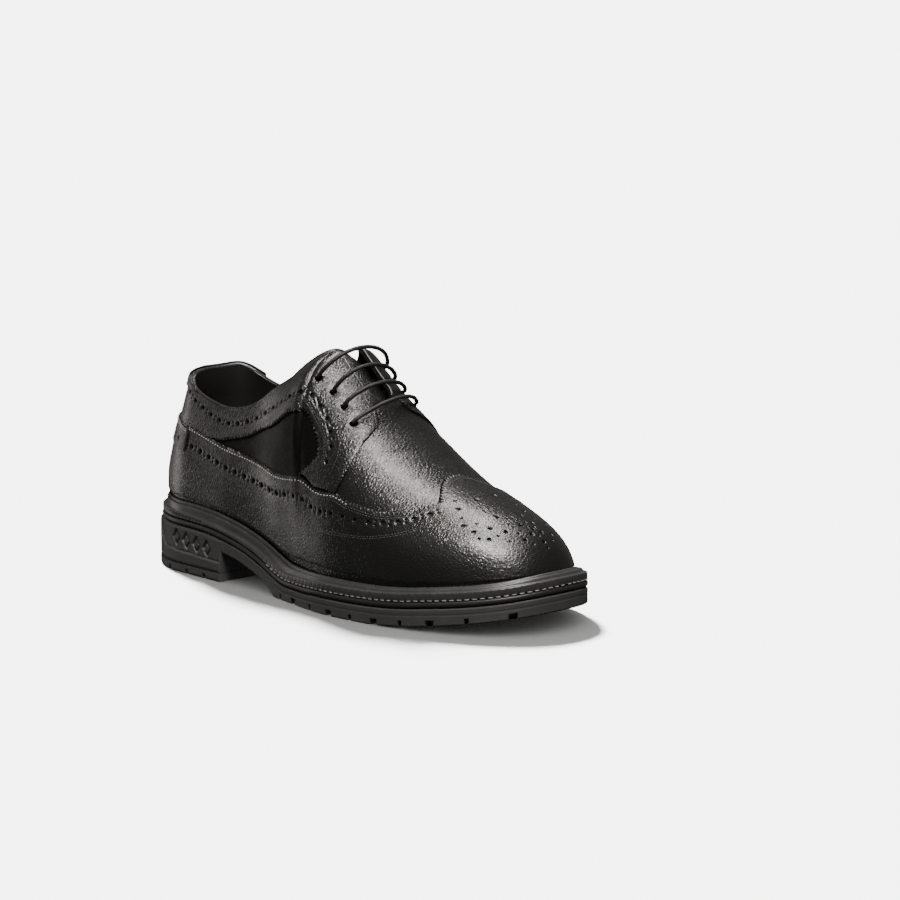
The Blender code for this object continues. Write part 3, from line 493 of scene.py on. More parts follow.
def thread(name, places, outs, length, thick, finish, sink=0.0):
    """Rows of stitches. places are runs of points along a seam and outs their outward
    directions; each stitch is a small spindle, pointed at both ends, from one hole to the
    next: its radius is largest in its middle."""
    along = np.array([-0.5, -0.40, -0.15, 0.15, 0.40, 0.5])
    girth = np.array([0.35, 0.85, 1.0, 1.0, 0.85, 0.35])
    turn = 2 * np.pi * np.arange(STITCH_TURNS) / STITCH_TURNS
    rods, faces, count = [], [], 0
    for run, out in zip(places, outs):
        step = np.gradient(run, axis=0)
        step /= np.linalg.norm(step, axis=1, keepdims=True)
        across = np.cross(step, out)
        across /= np.linalg.norm(across, axis=1, keepdims=True)
        up = np.cross(across, step)
        dip = -sink * np.array([1, 0.4, 0, 0, 0.4, 1])
        body = (run[:, None, None] + (along * length)[None, :, None, None] * step[:, None, None]
                + dip[None, :, None, None] * up[:, None, None]
                + (girth * thick)[None, :, None, None]
                * (np.cos(turn)[None, None, :, None] * across[:, None, None]
                   + 0.75 * np.sin(turn)[None, None, :, None] * up[:, None, None]))
        rods.append(body.reshape(-1, 3))
        one = grid_faces(6, STITCH_TURNS, ring_m=True)
        size = 6 * STITCH_TURNS
        shift = (count + size * np.arange(len(run)))[:, None, None]
        faces.append((one[None] + shift).reshape(-1, 4))
        count += size * len(run)
    return piece(name, np.concatenate(rods), np.concatenate(faces), finish, weld=0.0005)


def waxed_thread(name, tone):
    """Twisted waxed thread: a fine diagonal lay, a little shine."""
    made = Finish(name, Specular_IOR_Level=0.45)
    lay = made.noise(1800.0, 1.0)
    return made.set(Base_Color=made.mix(lay, tuple(0.6 * t for t in tone) + (1,),
                                        tuple(tone) + (1,)),
                    Roughness=lay * 0.2 + 0.42, Normal=made.bump(lay, 0.00005))


SOLE_THREAD = waxed_thread("pale sole thread", (0.30, 0.29, 0.27))
places, outs = [], []
for s in (-1.0, 1.0):
    way = np.arange(arc_at(STITCH_FROM), ARC[-1] - 1.0, TICK_PITCH)
    r = np.interp(way, ARC, ARC_R)
    x = share_at(r) * LENGTH
    side = np.full(r.shape, s)
    places.append(np.concatenate([inset(r, side, 0.42 + 0 * r),
                                  (SOLE("parting", x) + MIDSOLE + 0.35)[:, None]], -1))
    outs.append(np.concatenate([outward(r, side), 0 * r[:, None]], -1))
thread("sole_stitches", places, outs, 2.7, 0.34, SOLE_THREAD)

# Upper: vamp and plain quarters of full grain calf, closed over the last and pulled under
# the insole. Milled grain shows as fine pebbles, drawn out where the last stretches it, and
# the foot's bending line shows as a few soft troughs over the vamp. A smooth black lining
# makes the inside.
# Its shape is a fan of ribs. Each row gives a rib's top end, which runs along the topline
# from the back seam to the front of the collar, then down the ridge of instep and vamp to
# the toe. turn is the angle at which the rib leaves it (0 upright, 90 flat); rise and flare
# say how full the rib is.
UPPER = table(
    "share x lateral medial z_lateral z_medial turn rise lean flare",
    (0.00, 29.0, 20.0, 20.0, 116.0, 116.0, 12, 0.34, 3, 0.32),
    (0.05, 33.5, 22.0, 22.5, 113.5, 117.0, 12, 0.34, 4, 0.32),
    (0.12, 45.5, 25.0, 24.5, 107.0, 111.3, 12, 0.34, 5, 0.34),
    (0.20, 62.5, 27.5, 26.0, 102.0, 105.4, 12, 0.34, 5, 0.34),
    (0.27, 82.0, 28.5, 27.0, 99.8, 103.0, 14, 0.34, 5, 0.34),
    (0.34, 103.0, 28.0, 26.5, 105.5, 107.0, 20, 0.34, 5, 0.36),
    (0.39, 117.0, 26.0, 25.5, 114.8, 114.5, 30, 0.34, 4, 0.38),
    (0.43, 128.5, 23.0, 23.0, 122.0, 122.0, 42, 0.35, 4, 0.38),
    (0.465, 137.8, 17.3, 17.3, 130.0, 130.2, 56, 0.37, 4, 0.36),
    (0.49, 143.6, 11.8, 11.8, 134.0, 134.0, 70, 0.39, 5.5, 0.335),
    (0.51, 147.8, 6.2, 6.2, 135.8, 135.8, 82, 0.40, 6.5, 0.335),
    (0.525, 149.8, 0.0, 0.0, 136.0, 136.0, 90, 0.40, 7, 0.33),
    (0.555, 157.0, 0.0, 0.0, 129.8, 129.8, 90, 0.41, 6.5, 0.315),
    (0.585, 166.0, 0.0, 0.0, 121.2, 121.2, 90, 0.42, 7, 0.32),
    (0.625, 178.0, 0.0, 0.0, 110.3, 110.3, 90, 0.43, 7, 0.36),
    (0.66, 191.0, 0.0, 0.0, 98.8, 98.8, 90, 0.45, 7, 0.40),
    (0.71, 208.0, 0.0, 0.0, 85.6, 85.6, 90, 0.46, 7, 0.43),
    (0.77, 228.0, 0.0, 0.0, 73.2, 73.2, 90, 0.46, 6, 0.45),
    (0.84, 247.0, 0.0, 0.0, 65.4, 65.4, 90, 0.46, 2, 0.43),
    (0.92, 262.0, 0.0, 0.0, 60.0, 60.0, 90, 0.43, -8, 0.41),
    (1.00, 270.0, 0.0, 0.0, 57.0, 57.0, 90, 0.38, -16, 0.40))

RIDGE_START = 0.525        # from this share on the ribs end on the ridge
THROAT_END = 0.625         # the throat is open down to here
THROAT_HALF = 9.0          # half its width between the facings
THROAT_ROUND = 9.5         # length of its rounded end
RIDGE_CENTRE = ((150.0, 0.0), (200.0, 0.5), (240.0, 3.0), (306.0, 7.9))
TOE_FAN = 30.0             # spreads the last ribs along the ridge


def ridge_line(x, what):
    """Height or slope of the instep and vamp ridge at x."""
    share = np.linspace(RIDGE_START, 1.0, 400)
    px, pz = UPPER("x", share), UPPER("z_lateral", share)
    return np.interp(x, px, pz if what == "height" else np.gradient(pz, px))


def rib(r, side, h):
    """Outer surface of the upper. r is the station, h goes from the feather 0 to the top 1.

    Each rib is a cubic Bezier: up from the feather with a lean outwards, in to the top end.
    """
    r = np.asarray(r, float)
    s = share_at(r)
    foot2 = inset(r, side, feather_inset(s * LENGTH))
    foot = np.concatenate([foot2, SOLE("feather", foot2[..., 0])[..., None]], -1)
    lateral, closed = np.asarray(side) < 0, s >= RIDGE_START
    half = np.where(lateral, UPPER("lateral", s), UPPER("medial", s))
    half = np.where(closed, 0, half)
    half = half * np.sqrt(np.clip(1 - np.clip(1 - s / 0.12, 0, 1)**2, 0, 1))
    x = UPPER("x", s) - TOE_FAN * (1 - r) * r**12
    z = np.where(lateral, UPPER("z_lateral", s), UPPER("z_medial", s))
    z = np.where(closed, ridge_line(x, "height"), z)
    middle = curve(*np.array(RIDGE_CENTRE).T, x)
    top = np.stack([x, middle + side * half, z], -1)
    out = outward(r, side)
    flat = np.concatenate([out, np.zeros(out.shape[:-1] + (1,))], -1)
    up = np.array([0.0, 0.0, 1.0])
    lean, turn = np.radians(UPPER("lean", s)), np.radians(UPPER("turn", s))
    slope = ridge_line(x, "slope") * np.clip((s - 0.43) / (RIDGE_START - 0.43), 0, 1)
    size = np.linalg.norm(top - foot, axis=-1)
    start = flat * np.sin(lean)[..., None] + up * np.cos(lean)[..., None]
    end = flat * np.sin(turn)[..., None] - up * np.cos(turn)[..., None]
    end = end + up * (out[..., 0] * slope * np.sin(turn))[..., None]
    p1 = foot + start * (UPPER("rise", s) * size)[..., None]
    p2 = top + end * (UPPER("flare", s) * size)[..., None]
    t = np.asarray(h, float)[..., None]
    return (1 - t)**3 * foot + 3 * (1 - t)**2 * t * p1 + 3 * (1 - t) * t**2 * p2 + t**3 * top


def wrap(q):
    """Way round the shoe as one number: 0 heel, 0..1 lateral, 1 toe, 1..2 medial."""
    q = np.mod(q, 2.0)
    return np.where(q <= 1, q, 2 - q), np.where(q <= 1, -1.0, 1.0)


def surface(q, h, off=0.0):
    """Upper's surface at (q, h), moved off millimetres along its own normal."""
    q, h = np.broadcast_arrays(np.asarray(q, float), np.asarray(h, float))
    d = 2e-3
    around = rib(*wrap(q + d), h) - rib(*wrap(q - d), h)
    upward = rib(*wrap(q), h + d) - rib(*wrap(q), h - d)
    n = np.cross(around, upward)
    r, side = wrap(q)
    s = share_at(r)
    closed = (s >= RIDGE_START) & (h > 0.995)
    slope = ridge_line(UPPER("x", s), "slope")
    flat = np.stack([-slope, np.zeros_like(slope), np.ones_like(slope)], -1)
    n = np.where(closed[..., None], flat, n)
    n /= np.linalg.norm(n, axis=-1, keepdims=True)
    return rib(r, side, h) + np.asarray(off, float)[..., None] * n


def half_gap(x):
    """Half the open throat's width at x, rounded off at its lower end."""
    end = float(UPPER("x", THROAT_END))
    t = np.clip((x - end + THROAT_ROUND) / THROAT_ROUND, 0, 1)
    return THROAT_HALF * np.sqrt(1 - t**2)


def top_height(r, side):
    """Height h at which the leather ends: 1, or less along the edge of the throat."""
    r = np.asarray(r, float)
    low, high = np.full(r.shape, 0.6), np.ones(r.shape)
    for _ in range(24):
        h = (low + high) / 2
        p = rib(r, side, h)
        wide = np.abs(p[..., 1] - curve(*np.array(RIDGE_CENTRE).T, p[..., 0]))
        outside = wide > half_gap(p[..., 0])
        low, high = np.where(outside, h, low), np.where(outside, high, h)
    closed = share_at(r) >= THROAT_END - 1e-6
    p = rib(r, side, np.ones(r.shape))
    collar = np.abs(p[..., 1] - curve(*np.array(RIDGE_CENTRE).T, p[..., 0])) >= THROAT_HALF
    return np.where(closed | (share_at(r) < 0.45) | collar, 1.0, low)


WALL = 1.8
CREASE_TALL = 14.0
# Creases: x, y, z of the middle, turn in plan, half length, half width, depth.
CREASES = ((188.0, -16.0, 98, 62, 13.0, 2.6, 0.22), (196.0, 5.0, 96, 84, 19.0, 3.2, 0.24),
           (205.0, -12.0, 86, 76, 17.0, 3.0, 0.26), (214.0, 10.0, 82, 96, 18.0, 3.2, 0.22),
           (221.0, -14.0, 76, 80, 15.0, 2.8, 0.20), (199.0, -40.0, 52, 50, 10.0, 3.0, 0.26),
           (208.0, -42.0, 44, 66, 8.0, 2.6, 0.22), (196.0, 38.0, 52, 130, 10.0, 3.4, 0.26),
           (60.0, -30.0, 74, 0, 12.0, 9.0, 0.20), (62.0, 30.0, 76, 0, 12.0, 9.0, 0.20))


def creases(points):
    """Depth of the creases: each is a trough along a short line in plan, deepest in its middle,
    with a lower ridge on both sides (a cosine under a Gaussian), and fades above and below."""
    depth = np.zeros(points.shape[:-1])
    for x0, y0, z0, turn, long, wide, deep in CREASES:
        c, s = np.cos(np.radians(turn)), np.sin(np.radians(turn))
        a = (points[..., 0] - x0) * c + (points[..., 1] - y0) * s
        b = -(points[..., 0] - x0) * s + (points[..., 1] - y0) * c
        level = np.exp(-((points[..., 2] - z0) / CREASE_TALL)**2)
        depth += deep * np.exp(-(a / long)**2 - (b / wide)**2) * np.cos(1.7 * b / wide) * level
    return depth


def skin(q, h, off=0.0):
    """The leather's surface with its creases and a slow unevenness from lasting."""
    flat = surface(q, h)
    x, y, z = np.moveaxis(flat, -1, 0)
    slow = 0.16 * np.sin(x * 0.13 + 0.09 * z) * np.sin(0.11 * z - 0.07 * y + 1.0)
    fade = soft(np.asarray(h) - 0.06, 0.12) * soft(1.0 - np.asarray(h) + 0.10, 0.2)
    return surface(q, h, off + (slow - creases(flat)) * fade)


def leather(name, tone, rough, size, depth, coat, draw=(1, 1, 1), shine=0.55):
    """Pebbled leather: flat pebbles parted by fine furrows, a finer grain on them, dye a
    little lighter on the pebbles, wax polish that lies unevenly. size is a pebble's width in
    millimetres, depth the furrows' in metres, draw says how far the grain is drawn out."""
    made = Finish(name, Specular_IOR_Level=shine, Coat_Roughness=0.26)
    at = made.stretched(tuple(1000.0 / size * d for d in draw))
    sway = made.noise(260.0, 2.0)
    bent = made.node("ShaderNodeVectorMath", {"operation": "ADD"}, {
        0: at, 1: made.node("ShaderNodeCombineXYZ", sockets={"X": sway * 1.4, "Y": sway * -1.1,
                                                             "Z": sway * 0.9})})
    cells = made.node("ShaderNodeTexVoronoi", {"feature": "DISTANCE_TO_EDGE"},
                      {"Vector": bent, "Scale": 1.0, "Randomness": 1.0})
    pebble = cells.above(0.0, 0.34)
    fine = made.noise(3200.0, 2.0)
    broad = made.noise(38.0, 3.0)
    wrinkle = made.noise(1.0, 2.0, at=made.stretched((170.0, 420.0, 300.0)))
    grain = pebble * (broad * 0.7 + 0.65) + fine * 0.10
    height = grain + wrinkle.above(0.35, 0.75) * 0.35
    dark, light = (tone * 0.25,) * 3 + (1,), (tone * 0.62, tone * 0.59, tone * 0.56, 1)
    worn = broad.above(0.40, 0.75)
    return made.set(
        Base_Color=made.mix(pebble * 0.8 + worn * 0.2, dark, light),
        Roughness=(rough + 0.10) - pebble * 0.10 - worn * 0.06 + fine * 0.06,
        Coat_Weight=worn * (coat * 0.6) + coat * 0.5,
        Normal=made.bump(height, depth))


PLAIN_TO = 0.563           # back of this station the leather is plain; the facing hides the join
VAMP_LEATHER = leather("grained vamp calf", 0.0105, 0.23, 1.9, 0.00011, 0.3, (1.25, 0.7, 1))
step = 1.9
way = np.linspace(0, ARC[-1], int(ARC[-1] / step))
r = np.interp(way, ARC, ARC_R)
r = np.unique(np.concatenate([r, np.arccos(1 - 2 * np.array([0.505, 0.515, 0.525, 0.54,
                                                             0.606, 0.616, 0.6225,
                                                             THROAT_END])) / np.pi]))
q = np.concatenate([r, 2 - r[-2:0:-1]])
rows = np.concatenate([[-1.0, -0.5], np.linspace(0, 1, 64)])
Q, H = np.meshgrid(q, rows, indexing="ij")
H = H * np.where(H > 0, top_height(*wrap(q))[:, None], 1.0)


def with_skirt(q, h, off):
    """The leather's surface, carried straight down inside the welt below the feather."""
    places = skin(q, np.maximum(h, 0.0), off)
    r, side = wrap(q)
    x = share_at(r) * LENGTH
    down = SOLE("feather", x) - (SOLE("parting", x) + MIDSOLE + GAP)
    low = places.copy()
    low[..., 2] += np.minimum(h, 0.0) * down
    return np.where((h < 0)[..., None], low, places)


outer, lining = with_skirt(Q, H, 0.0), with_skirt(Q, H, -WALL)
n, m = Q.shape
sheets = np.concatenate([outer.reshape(-1, 3), lining.reshape(-1, 3)])
faces = grid_faces(n, m, ring_n=True)
i = np.arange(n)
j = (i + 1) % n
shut = share_at(wrap(q)[0]) >= THROAT_END - 1e-6
rim = np.stack([i * m + m - 1, j * m + m - 1, n * m + j * m + m - 1, n * m + i * m + m - 1], -1)
foot = np.stack([i * m, n * m + i * m, n * m + j * m, j * m], -1)
faces = np.concatenate([faces, faces[:, ::-1] + n * m, rim[~(shut[i] & shut[j])], foot])
column = np.arange(n * (m - 1)) // (m - 1)
kinds = np.zeros(len(faces), int)
level = rows[np.arange(len(column)) % (m - 1)]
kinds[:len(column)] = (wrap(q)[0][column] < PLAIN_TO) & (level > 0.15)
kinds[len(column):2 * len(column)] = 2
upper = piece("vamp_and_quarters", sheets, faces, VAMP_LEATHER, ("upper",),
              kinds=kinds)
upper.data.materials.append(leather("plain quarter calf", 0.0055, 0.40, 0.9, 0.00006, 0.1,
                                    shine=0.10))
upper.data.materials.append(leather("smooth black lining", 0.020, 0.50, 0.6, 0.00003, 0.0))
sharp(upper, 60)

EYELETS = ((0.5267, 0.712), (0.5467, 0.728), (0.5631, 0.730), (0.5794, 0.710))
EYELET = 2.0


def eyelet(k, side, off):
    """Middle of eyelet k, off millimetres above the leather."""
    r0, h0 = EYELETS[k]
    q0 = np.array([r0 if side < 0 else 2 - r0])
    return surface(q0, np.array([h0]), np.array([off]))[0]


def punch(obj, radius):
    """Cuts the eight eyelet holes through a piece, each square to the leather."""
    bm = bmesh.new()
    for k in range(4):
        for s in (-1, 1):
            low, high = eyelet(k, s, -4.0), eyelet(k, s, 4.0)
            turn = Vector(high - low).normalized().to_track_quat("Z", "Y").to_matrix().to_4x4()
            turn.translation = Vector(((low + high) / 2 - MIDDLE) * MM)
            bmesh.ops.create_cone(bm, cap_ends=True, segments=20, radius1=radius * MM,
                                  radius2=radius * MM, depth=8.4 * MM, matrix=turn)
    tool_mesh = bpy.data.meshes.new("punch")
    bm.to_mesh(tool_mesh)
    bm.free()
    tool = bpy.data.objects.new("punch", tool_mesh)
    bpy.context.scene.collection.objects.link(tool)
    mod = obj.modifiers.new("punch", "BOOLEAN")
    mod.operation, mod.solver, mod.object = "DIFFERENCE", "EXACT", tool
    graph = bpy.context.evaluated_depsgraph_get()
    cut = bpy.data.meshes.new_from_object(obj.evaluated_get(graph))
    obj.modifiers.clear()
    obj.data = cut
    bpy.data.objects.remove(tool, do_unlink=True)


punch(upper, EYELET)


def inside(points, loops):
    """True for points inside an odd number of closed loops."""
    count = np.zeros(len(points), int)
    px, py = points[:, 0:1], points[:, 1:2]
    for loop in loops:
        a, b = loop, np.roll(loop, -1, 0)
        for k in range(0, len(points), 4000):
            x, y = px[k:k + 4000], py[k:k + 4000]
            spans = (a[:, 1] > y) != (b[:, 1] > y)
            rise = np.where(a[:, 1] == b[:, 1], 1e-9, b[:, 1] - a[:, 1])
            cross = a[:, 0] + (y - a[:, 1]) * (b[:, 0] - a[:, 0]) / rise
            count[k:k + 4000] += (spans & (cross > x)).sum(1)
    return count % 2 == 1


FLAT = np.array([360.0, 92.0])      # stretches (q, h) to about true millimetres


def frame_at(place):
    """Small steps in (q, h) that move one millimetre round and one millimetre up."""
    q, h = place[..., 0], place[..., 1]
    d = 1e-3
    around = (surface(q + d, h) - surface(q - d, h)) / (2 * d)
    upward = (surface(q, h + d) - surface(q, h - d)) / (2 * d)
    n = np.cross(around, upward)
    n /= np.linalg.norm(n, axis=-1, keepdims=True)
    up = upward / np.linalg.norm(upward, axis=-1, keepdims=True)
    side = np.cross(up, n)
    g11, g12, g22 = ((a * b).sum(-1) for a, b in ((around, around), (around, upward),
                                                  (upward, upward)))
    det = g11 * g22 - g12**2

    def solve(v):
        b1, b2 = (v * around).sum(-1), (v * upward).sum(-1)
        return np.stack([(g22 * b1 - g12 * b2) / det, (g11 * b2 - g12 * b1) / det], -1)

    return solve(side), solve(up)


def run(knots, pitch):
    """Points along a smooth line through knots in (q, h), a pitch apart in millimetres."""
    knots = np.array(knots, float)
    t = np.linspace(0, len(knots) - 1, 60 * len(knots))
    k = np.arange(len(knots))
    line = np.stack([curve(k, knots[:, 0], t), curve(k, knots[:, 1], t)], -1)
    solid = surface(line[:, 0], line[:, 1])
    way = np.concatenate([[0], np.cumsum(np.linalg.norm(np.diff(solid, axis=0), axis=1))])
    count = max(int(round(way[-1] / pitch)), 1)
    at = np.linspace(0, way[-1], count + 1)
    return np.stack([np.interp(at, way, line[:, 0]), np.interp(at, way, line[:, 1])], -1)


def beside(line, distance):
    """The line moved sideways by millimetres, to the left of its direction."""
    side, up = frame_at(line)
    step = np.gradient(line, axis=0)
    p = surface(line[:, 0], line[:, 1])
    ahead = np.gradient(p, axis=0)
    ahead /= np.linalg.norm(ahead, axis=1, keepdims=True)
    eps = 0.5
    ps = surface(*(line + side * eps).T) - p
    pu = surface(*(line + up * eps).T) - p
    a = (ahead * ps).sum(1) / eps
    b = (ahead * pu).sum(1) / eps
    return line + np.asarray(distance)[..., None] * (-b[:, None] * side + a[:, None] * up)


TOOTH, TOOTH_DEEP = 2.5, 1.8
HOLE_PITCH = 8.8


def gimped(knots):
    """An edge cut in zigzag: a triangle wave about the line, four points a tooth."""
    line = run(knots, TOOTH / 4)
    k = np.arange(len(line))
    tooth = np.abs(np.mod(k / 4.0, 1.0) - 0.5) * 2
    return beside(line, TOOTH_DEEP * (tooth - 0.5))


def hole_loop(place, radius, count=12):
    """A round hole in the flat pattern: a circle on the leather, back in (q, h)."""
    side, up = frame_at(np.array(place, float))
    t = 2 * np.pi * np.arange(count) / count
    return np.array(place) + radius * (np.cos(t)[:, None] * side + np.sin(t)[:, None] * up)


def laid(name, edges, holes, low, high, finish, slot, stands_for=(), gap=1.7, skinned=True):
    """A piece of leather laid over the upper. edges is its outline in order, runs of (q, h);
    a run given as ("seam", points) meets itself and gets no wall. holes are (place, radius).
    The flat pattern is filled with triangles, lifted to the surface, its rims rolled down."""
    outline, walls = [], []
    for one in edges:
        seam = isinstance(one, tuple)
        points = one[1] if seam else one
        outline.append(points[:-1])
        walls += [not seam] * (len(points) - 1)
    outline, walls = np.concatenate(outline), np.array(walls)
    loops = [outline * FLAT]
    loops += [hole_loop(p, rad, 14 if rad > 0.9 else 9) * FLAT for p, rad in holes]
    rims = np.concatenate(loops)
    low_end, high_end = loops[0].min(0), loops[0].max(0)
    gx, gy = np.meshgrid(np.arange(low_end[0], high_end[0], gap),
                         np.arange(low_end[1], high_end[1], gap * 0.87), indexing="ij")
    gx = gx + gap / 2 * (np.arange(gx.shape[1]) % 2)[None]
    fill = np.stack([gx.ravel(), gy.ravel()], -1)
    collars = [np.array(hole_loop(p, rad + 0.45, 14 if rad > 0.9 else 9)) * FLAT
               for p, rad in holes]
    a = np.roll(loops[0], 1, 0)
    b = np.roll(loops[0], -1, 0)
    t = (b - a) / np.maximum(np.linalg.norm(b - a, axis=1, keepdims=True), 1e-9)
    normal = np.stack([-t[:, 1], t[:, 0]], -1)
    area = (loops[0][:, 0] * b[:, 1] - b[:, 0] * loops[0][:, 1]).sum()
    within = loops[0] + normal * np.sign(area) * 0.62
    seam_free = walls & np.roll(walls, 1)
    fill = np.concatenate([fill, *collars, within[seam_free]])
    fill = fill[inside(fill, loops)]

    def nearest(points, others):
        return np.concatenate([
            np.sqrt(((points[k:k + 1500, None] - others[None])**2).sum(-1)).min(1)
            for k in range(0, len(points), 1500)])

    fill = fill[nearest(fill, rims) > 0.38]
    points = np.concatenate([rims, fill])
    starts = np.cumsum([0] + [len(loop) for loop in loops])
    lines = [(s + k, s + (k + 1) % len(loop)) for s, loop in zip(starts, loops)
             for k in range(len(loop))]
    flat, _, tris, origins, _, _ = delaunay_2d_cdt(
        [Vector(p) for p in points], lines, [], 0, 1e-5)
    flat, tris = np.array([tuple(p) for p in flat]), np.array(tris)
    tris = tris[inside(flat[tris].mean(1), loops)]
    new_of = {}
    for new, olds in enumerate(origins):
        for old in olds:
            new_of[old] = new
    count = len(flat)
    rolled = np.zeros(count)
    rim_new = [new_of[k] for k in range(len(rims))]
    rolled[rim_new] = 1.0
    for k in np.nonzero(~seam_free)[0]:
        rolled[new_of[k]] = 0.0
    place = flat / FLAT
    cover = skin if skinned else surface
    top = cover(place[:, 0], place[:, 1], high - 0.30 * rolled)
    bottom = cover(place[:, 0], place[:, 1], np.full(count, low))
    sides = []
    wall_of = np.concatenate([walls] + [np.ones(len(loop), bool) for loop in loops[1:]])
    for k, (a, b) in enumerate(lines):
        if wall_of[k]:
            a, b = new_of[a], new_of[b]
            sides.append((a, b, b + count, a + count))
    tri_faces = np.concatenate([tris, tris[:, ::-1] + count])
    faces = [tuple(f) for f in tri_faces.tolist()] + sides
    obj = piece(name, np.concatenate([top, bottom]), faces, finish, stands_for, 0.01,
                mixed=True)
    return sharp(obj, 50)


def hole_row(line, big, small, apart):
    """Broguing along a line: a big hole, then two small ones one above the other."""
    beads = run(line, HOLE_PITCH / 2)
    over, under = beside(beads, apart), beside(beads, -apart)
    holes = []
    for k in range(1, len(beads) - 1):
        if k % 2:
            holes.append((beads[k], big))
        else:
            holes += [(over[k], small), (under[k], small)]
    return holes


def seam_thread(name, lines, pitch, off, finish, length=None, thick=0.24):
    """Stitches along lines in (q, h), lying on the leather at this height."""
    places, outs = [], []
    for line in lines:
        beads = run(line, pitch)
        beads = (beads[1:] + beads[:-1]) / 2
        places.append(skin(beads[:, 0], beads[:, 1], np.full(len(beads), off)))
        outs.append(surface(beads[:, 0], beads[:, 1], 1.0) - surface(beads[:, 0], beads[:, 1]))
    return thread(name, places, outs, length or pitch * 0.74, thick, finish, 0.12)


# Longwing: the wing tip runs on along both sides to the back seam. Its upper edge is gimped,
# a row of punched holes follows it between two lines of stitching, and a medallion of holes
# is punched into the toe.
WING_EDGE = [(0.0, .640), (.06, .638), (.12, .637), (.1837, .640), (.2295, .664), (.2695, .672),
             (.3227, .647), (.3815, .591), (.4432, .476), (.4951, .345), (.5422, .302),
             (.5791, .346), (.5990, .352), (.6251, .378), (.6472, .413), (.6638, .466),
             (.6816, .536), (.6925, .605), (.7029, .679)]
WING_PEAK = [(.7029, .679), (.6955, .765), (.6850, .857), (.6803, .926), (.681, 1.0)]
HOLE_LINE = [(0.02, .500), (.10, .505), (.20, .520), (.2685, .509), (.310, .482), (.347, .450),
             (.396, .408), (.457, .335), (.505, .262), (.5422, .232), (.5800, .262), (.6144, .292),
             (.6450, .340), (.6700, .405), (.6892, .483), (.7050, .570), (.716, .650)]
LOWER_LINE = [(0.02, .455), (.10, .458), (.20, .470), (.27, .455), (.32, .420), (.40, .340),
              (.46, .265), (.51, .190), (.5422, .165), (.59, .195), (.63, .235), (.6619, .300),
              (.6866, .371), (.7114, .473), (.7259, .580), (.735, .690)]
MEDALLION = [(.7438, .900, 1), (.7181, .770, 0), (.7330, .700, 1), (.7480, .615, 0),
             (.7600, .540, 1), (.7811, .605, 0), (.7850, .500, 1), (.8000, .440, 0),
             (.8158, .598, 1), (.8220, .455, 1), (.8431, .520, 0), (.8645, .600, 1),
             (.8800, .470, 0), (.9150, .600, 0), (.9341, .500, 1), (.9600, .425, 0),
             (.9735, .595, 1), (.9400, .760, 1), (.8700, .740, 0), (.9000, .880, 0),
             (.8200, .790, 1), (.7800, .800, 0), (.9750, .700, 0)]


SMALL_HOLE, WIDE_HOLE = 0.50, 0.95
WING_FOOT = 0.03           # height h at which the wing goes down inside the welt
OVERLAY = (0.05, 1.35)     # an overlay's underside and top above the upper
WING_LEATHER = leather("grained wing calf", 0.0105, 0.24, 1.8, 0.00009, 0.3, (1.2, 0.75, 1))
edge_run, peak_run = gimped(WING_EDGE), gimped(WING_PEAK)
edge_run[0, 0], peak_run[-1, 1], peak_run[0] = 0.0, 1.0, edge_run[-1]
ridge = np.stack([np.linspace(peak_run[-1, 0], 1.0, 90), np.ones(90)], -1)
seam_up = np.stack([np.zeros(30), np.linspace(WING_FOOT, edge_run[0, 1], 30)], -1)
foot_run = np.stack([np.linspace(2, 0, 480), np.full(480, WING_FOOT)], -1)


def back(line):
    """The same line on the other side of the shoe, run the other way."""
    other = line[::-1].copy()
    other[:, 0] = 2 - other[:, 0]
    return other


holes = hole_row(HOLE_LINE, 1.35, 0.48, 1.15)
holes += [((q, h), WIDE_HOLE if big else SMALL_HOLE) for q, h, big in MEDALLION]
holes = holes + [((2 - p[0], p[1]), rad) for p, rad in holes]
holes += [((1.0, h), WIDE_HOLE if k % 2 else SMALL_HOLE)
          for k, h in enumerate((.35, .45, .56, .68, .82))]
laid("longwing", [("seam", seam_up), edge_run, peak_run, ("seam", ridge), ("seam", back(ridge)),
                  back(peak_run), back(edge_run), ("seam", back(seam_up)), foot_run],
     holes, *OVERLAY, WING_LEATHER, "wing_leather", ("wing",))
UPPER_THREAD = waxed_thread("black upper thread", (0.050, 0.048, 0.045))
SEAM_STEP = 3.0
rows = [beside(run(line, SEAM_STEP), -apart) for line in (WING_EDGE, WING_PEAK)
        for apart in (2.1, 3.3)]
rows += [np.array(LOWER_LINE), beside(run(LOWER_LINE, SEAM_STEP), -1.1)]
rows += [np.stack([2 - row[:, 0], row[:, 1]], -1) for row in rows]
seam_thread("wing_stitches", rows, 1.9, OVERLAY[1], UPPER_THREAD)
# Pale thread: along the wing's edge it is a painted highlight, a row of pale stitches standing for the
# glints where light catches the gimped teeth. The back patch is stitched with it too.
PALE_THREAD_AND_PAINTED_GLINTS = waxed_thread("pale thread and painted glints", (0.42, 0.40, 0.37))
line = beside(run([knot for knot in WING_EDGE if 0.06 <= knot[0] <= 0.6], SEAM_STEP), -1.35)
seam_thread("wing_edge_painted_glints", [line, np.stack([2 - line[:, 0], line[:, 1]], -1)], 2.4,
            OVERLAY[1], PALE_THREAD_AND_PAINTED_GLINTS, 1.15, 0.40)

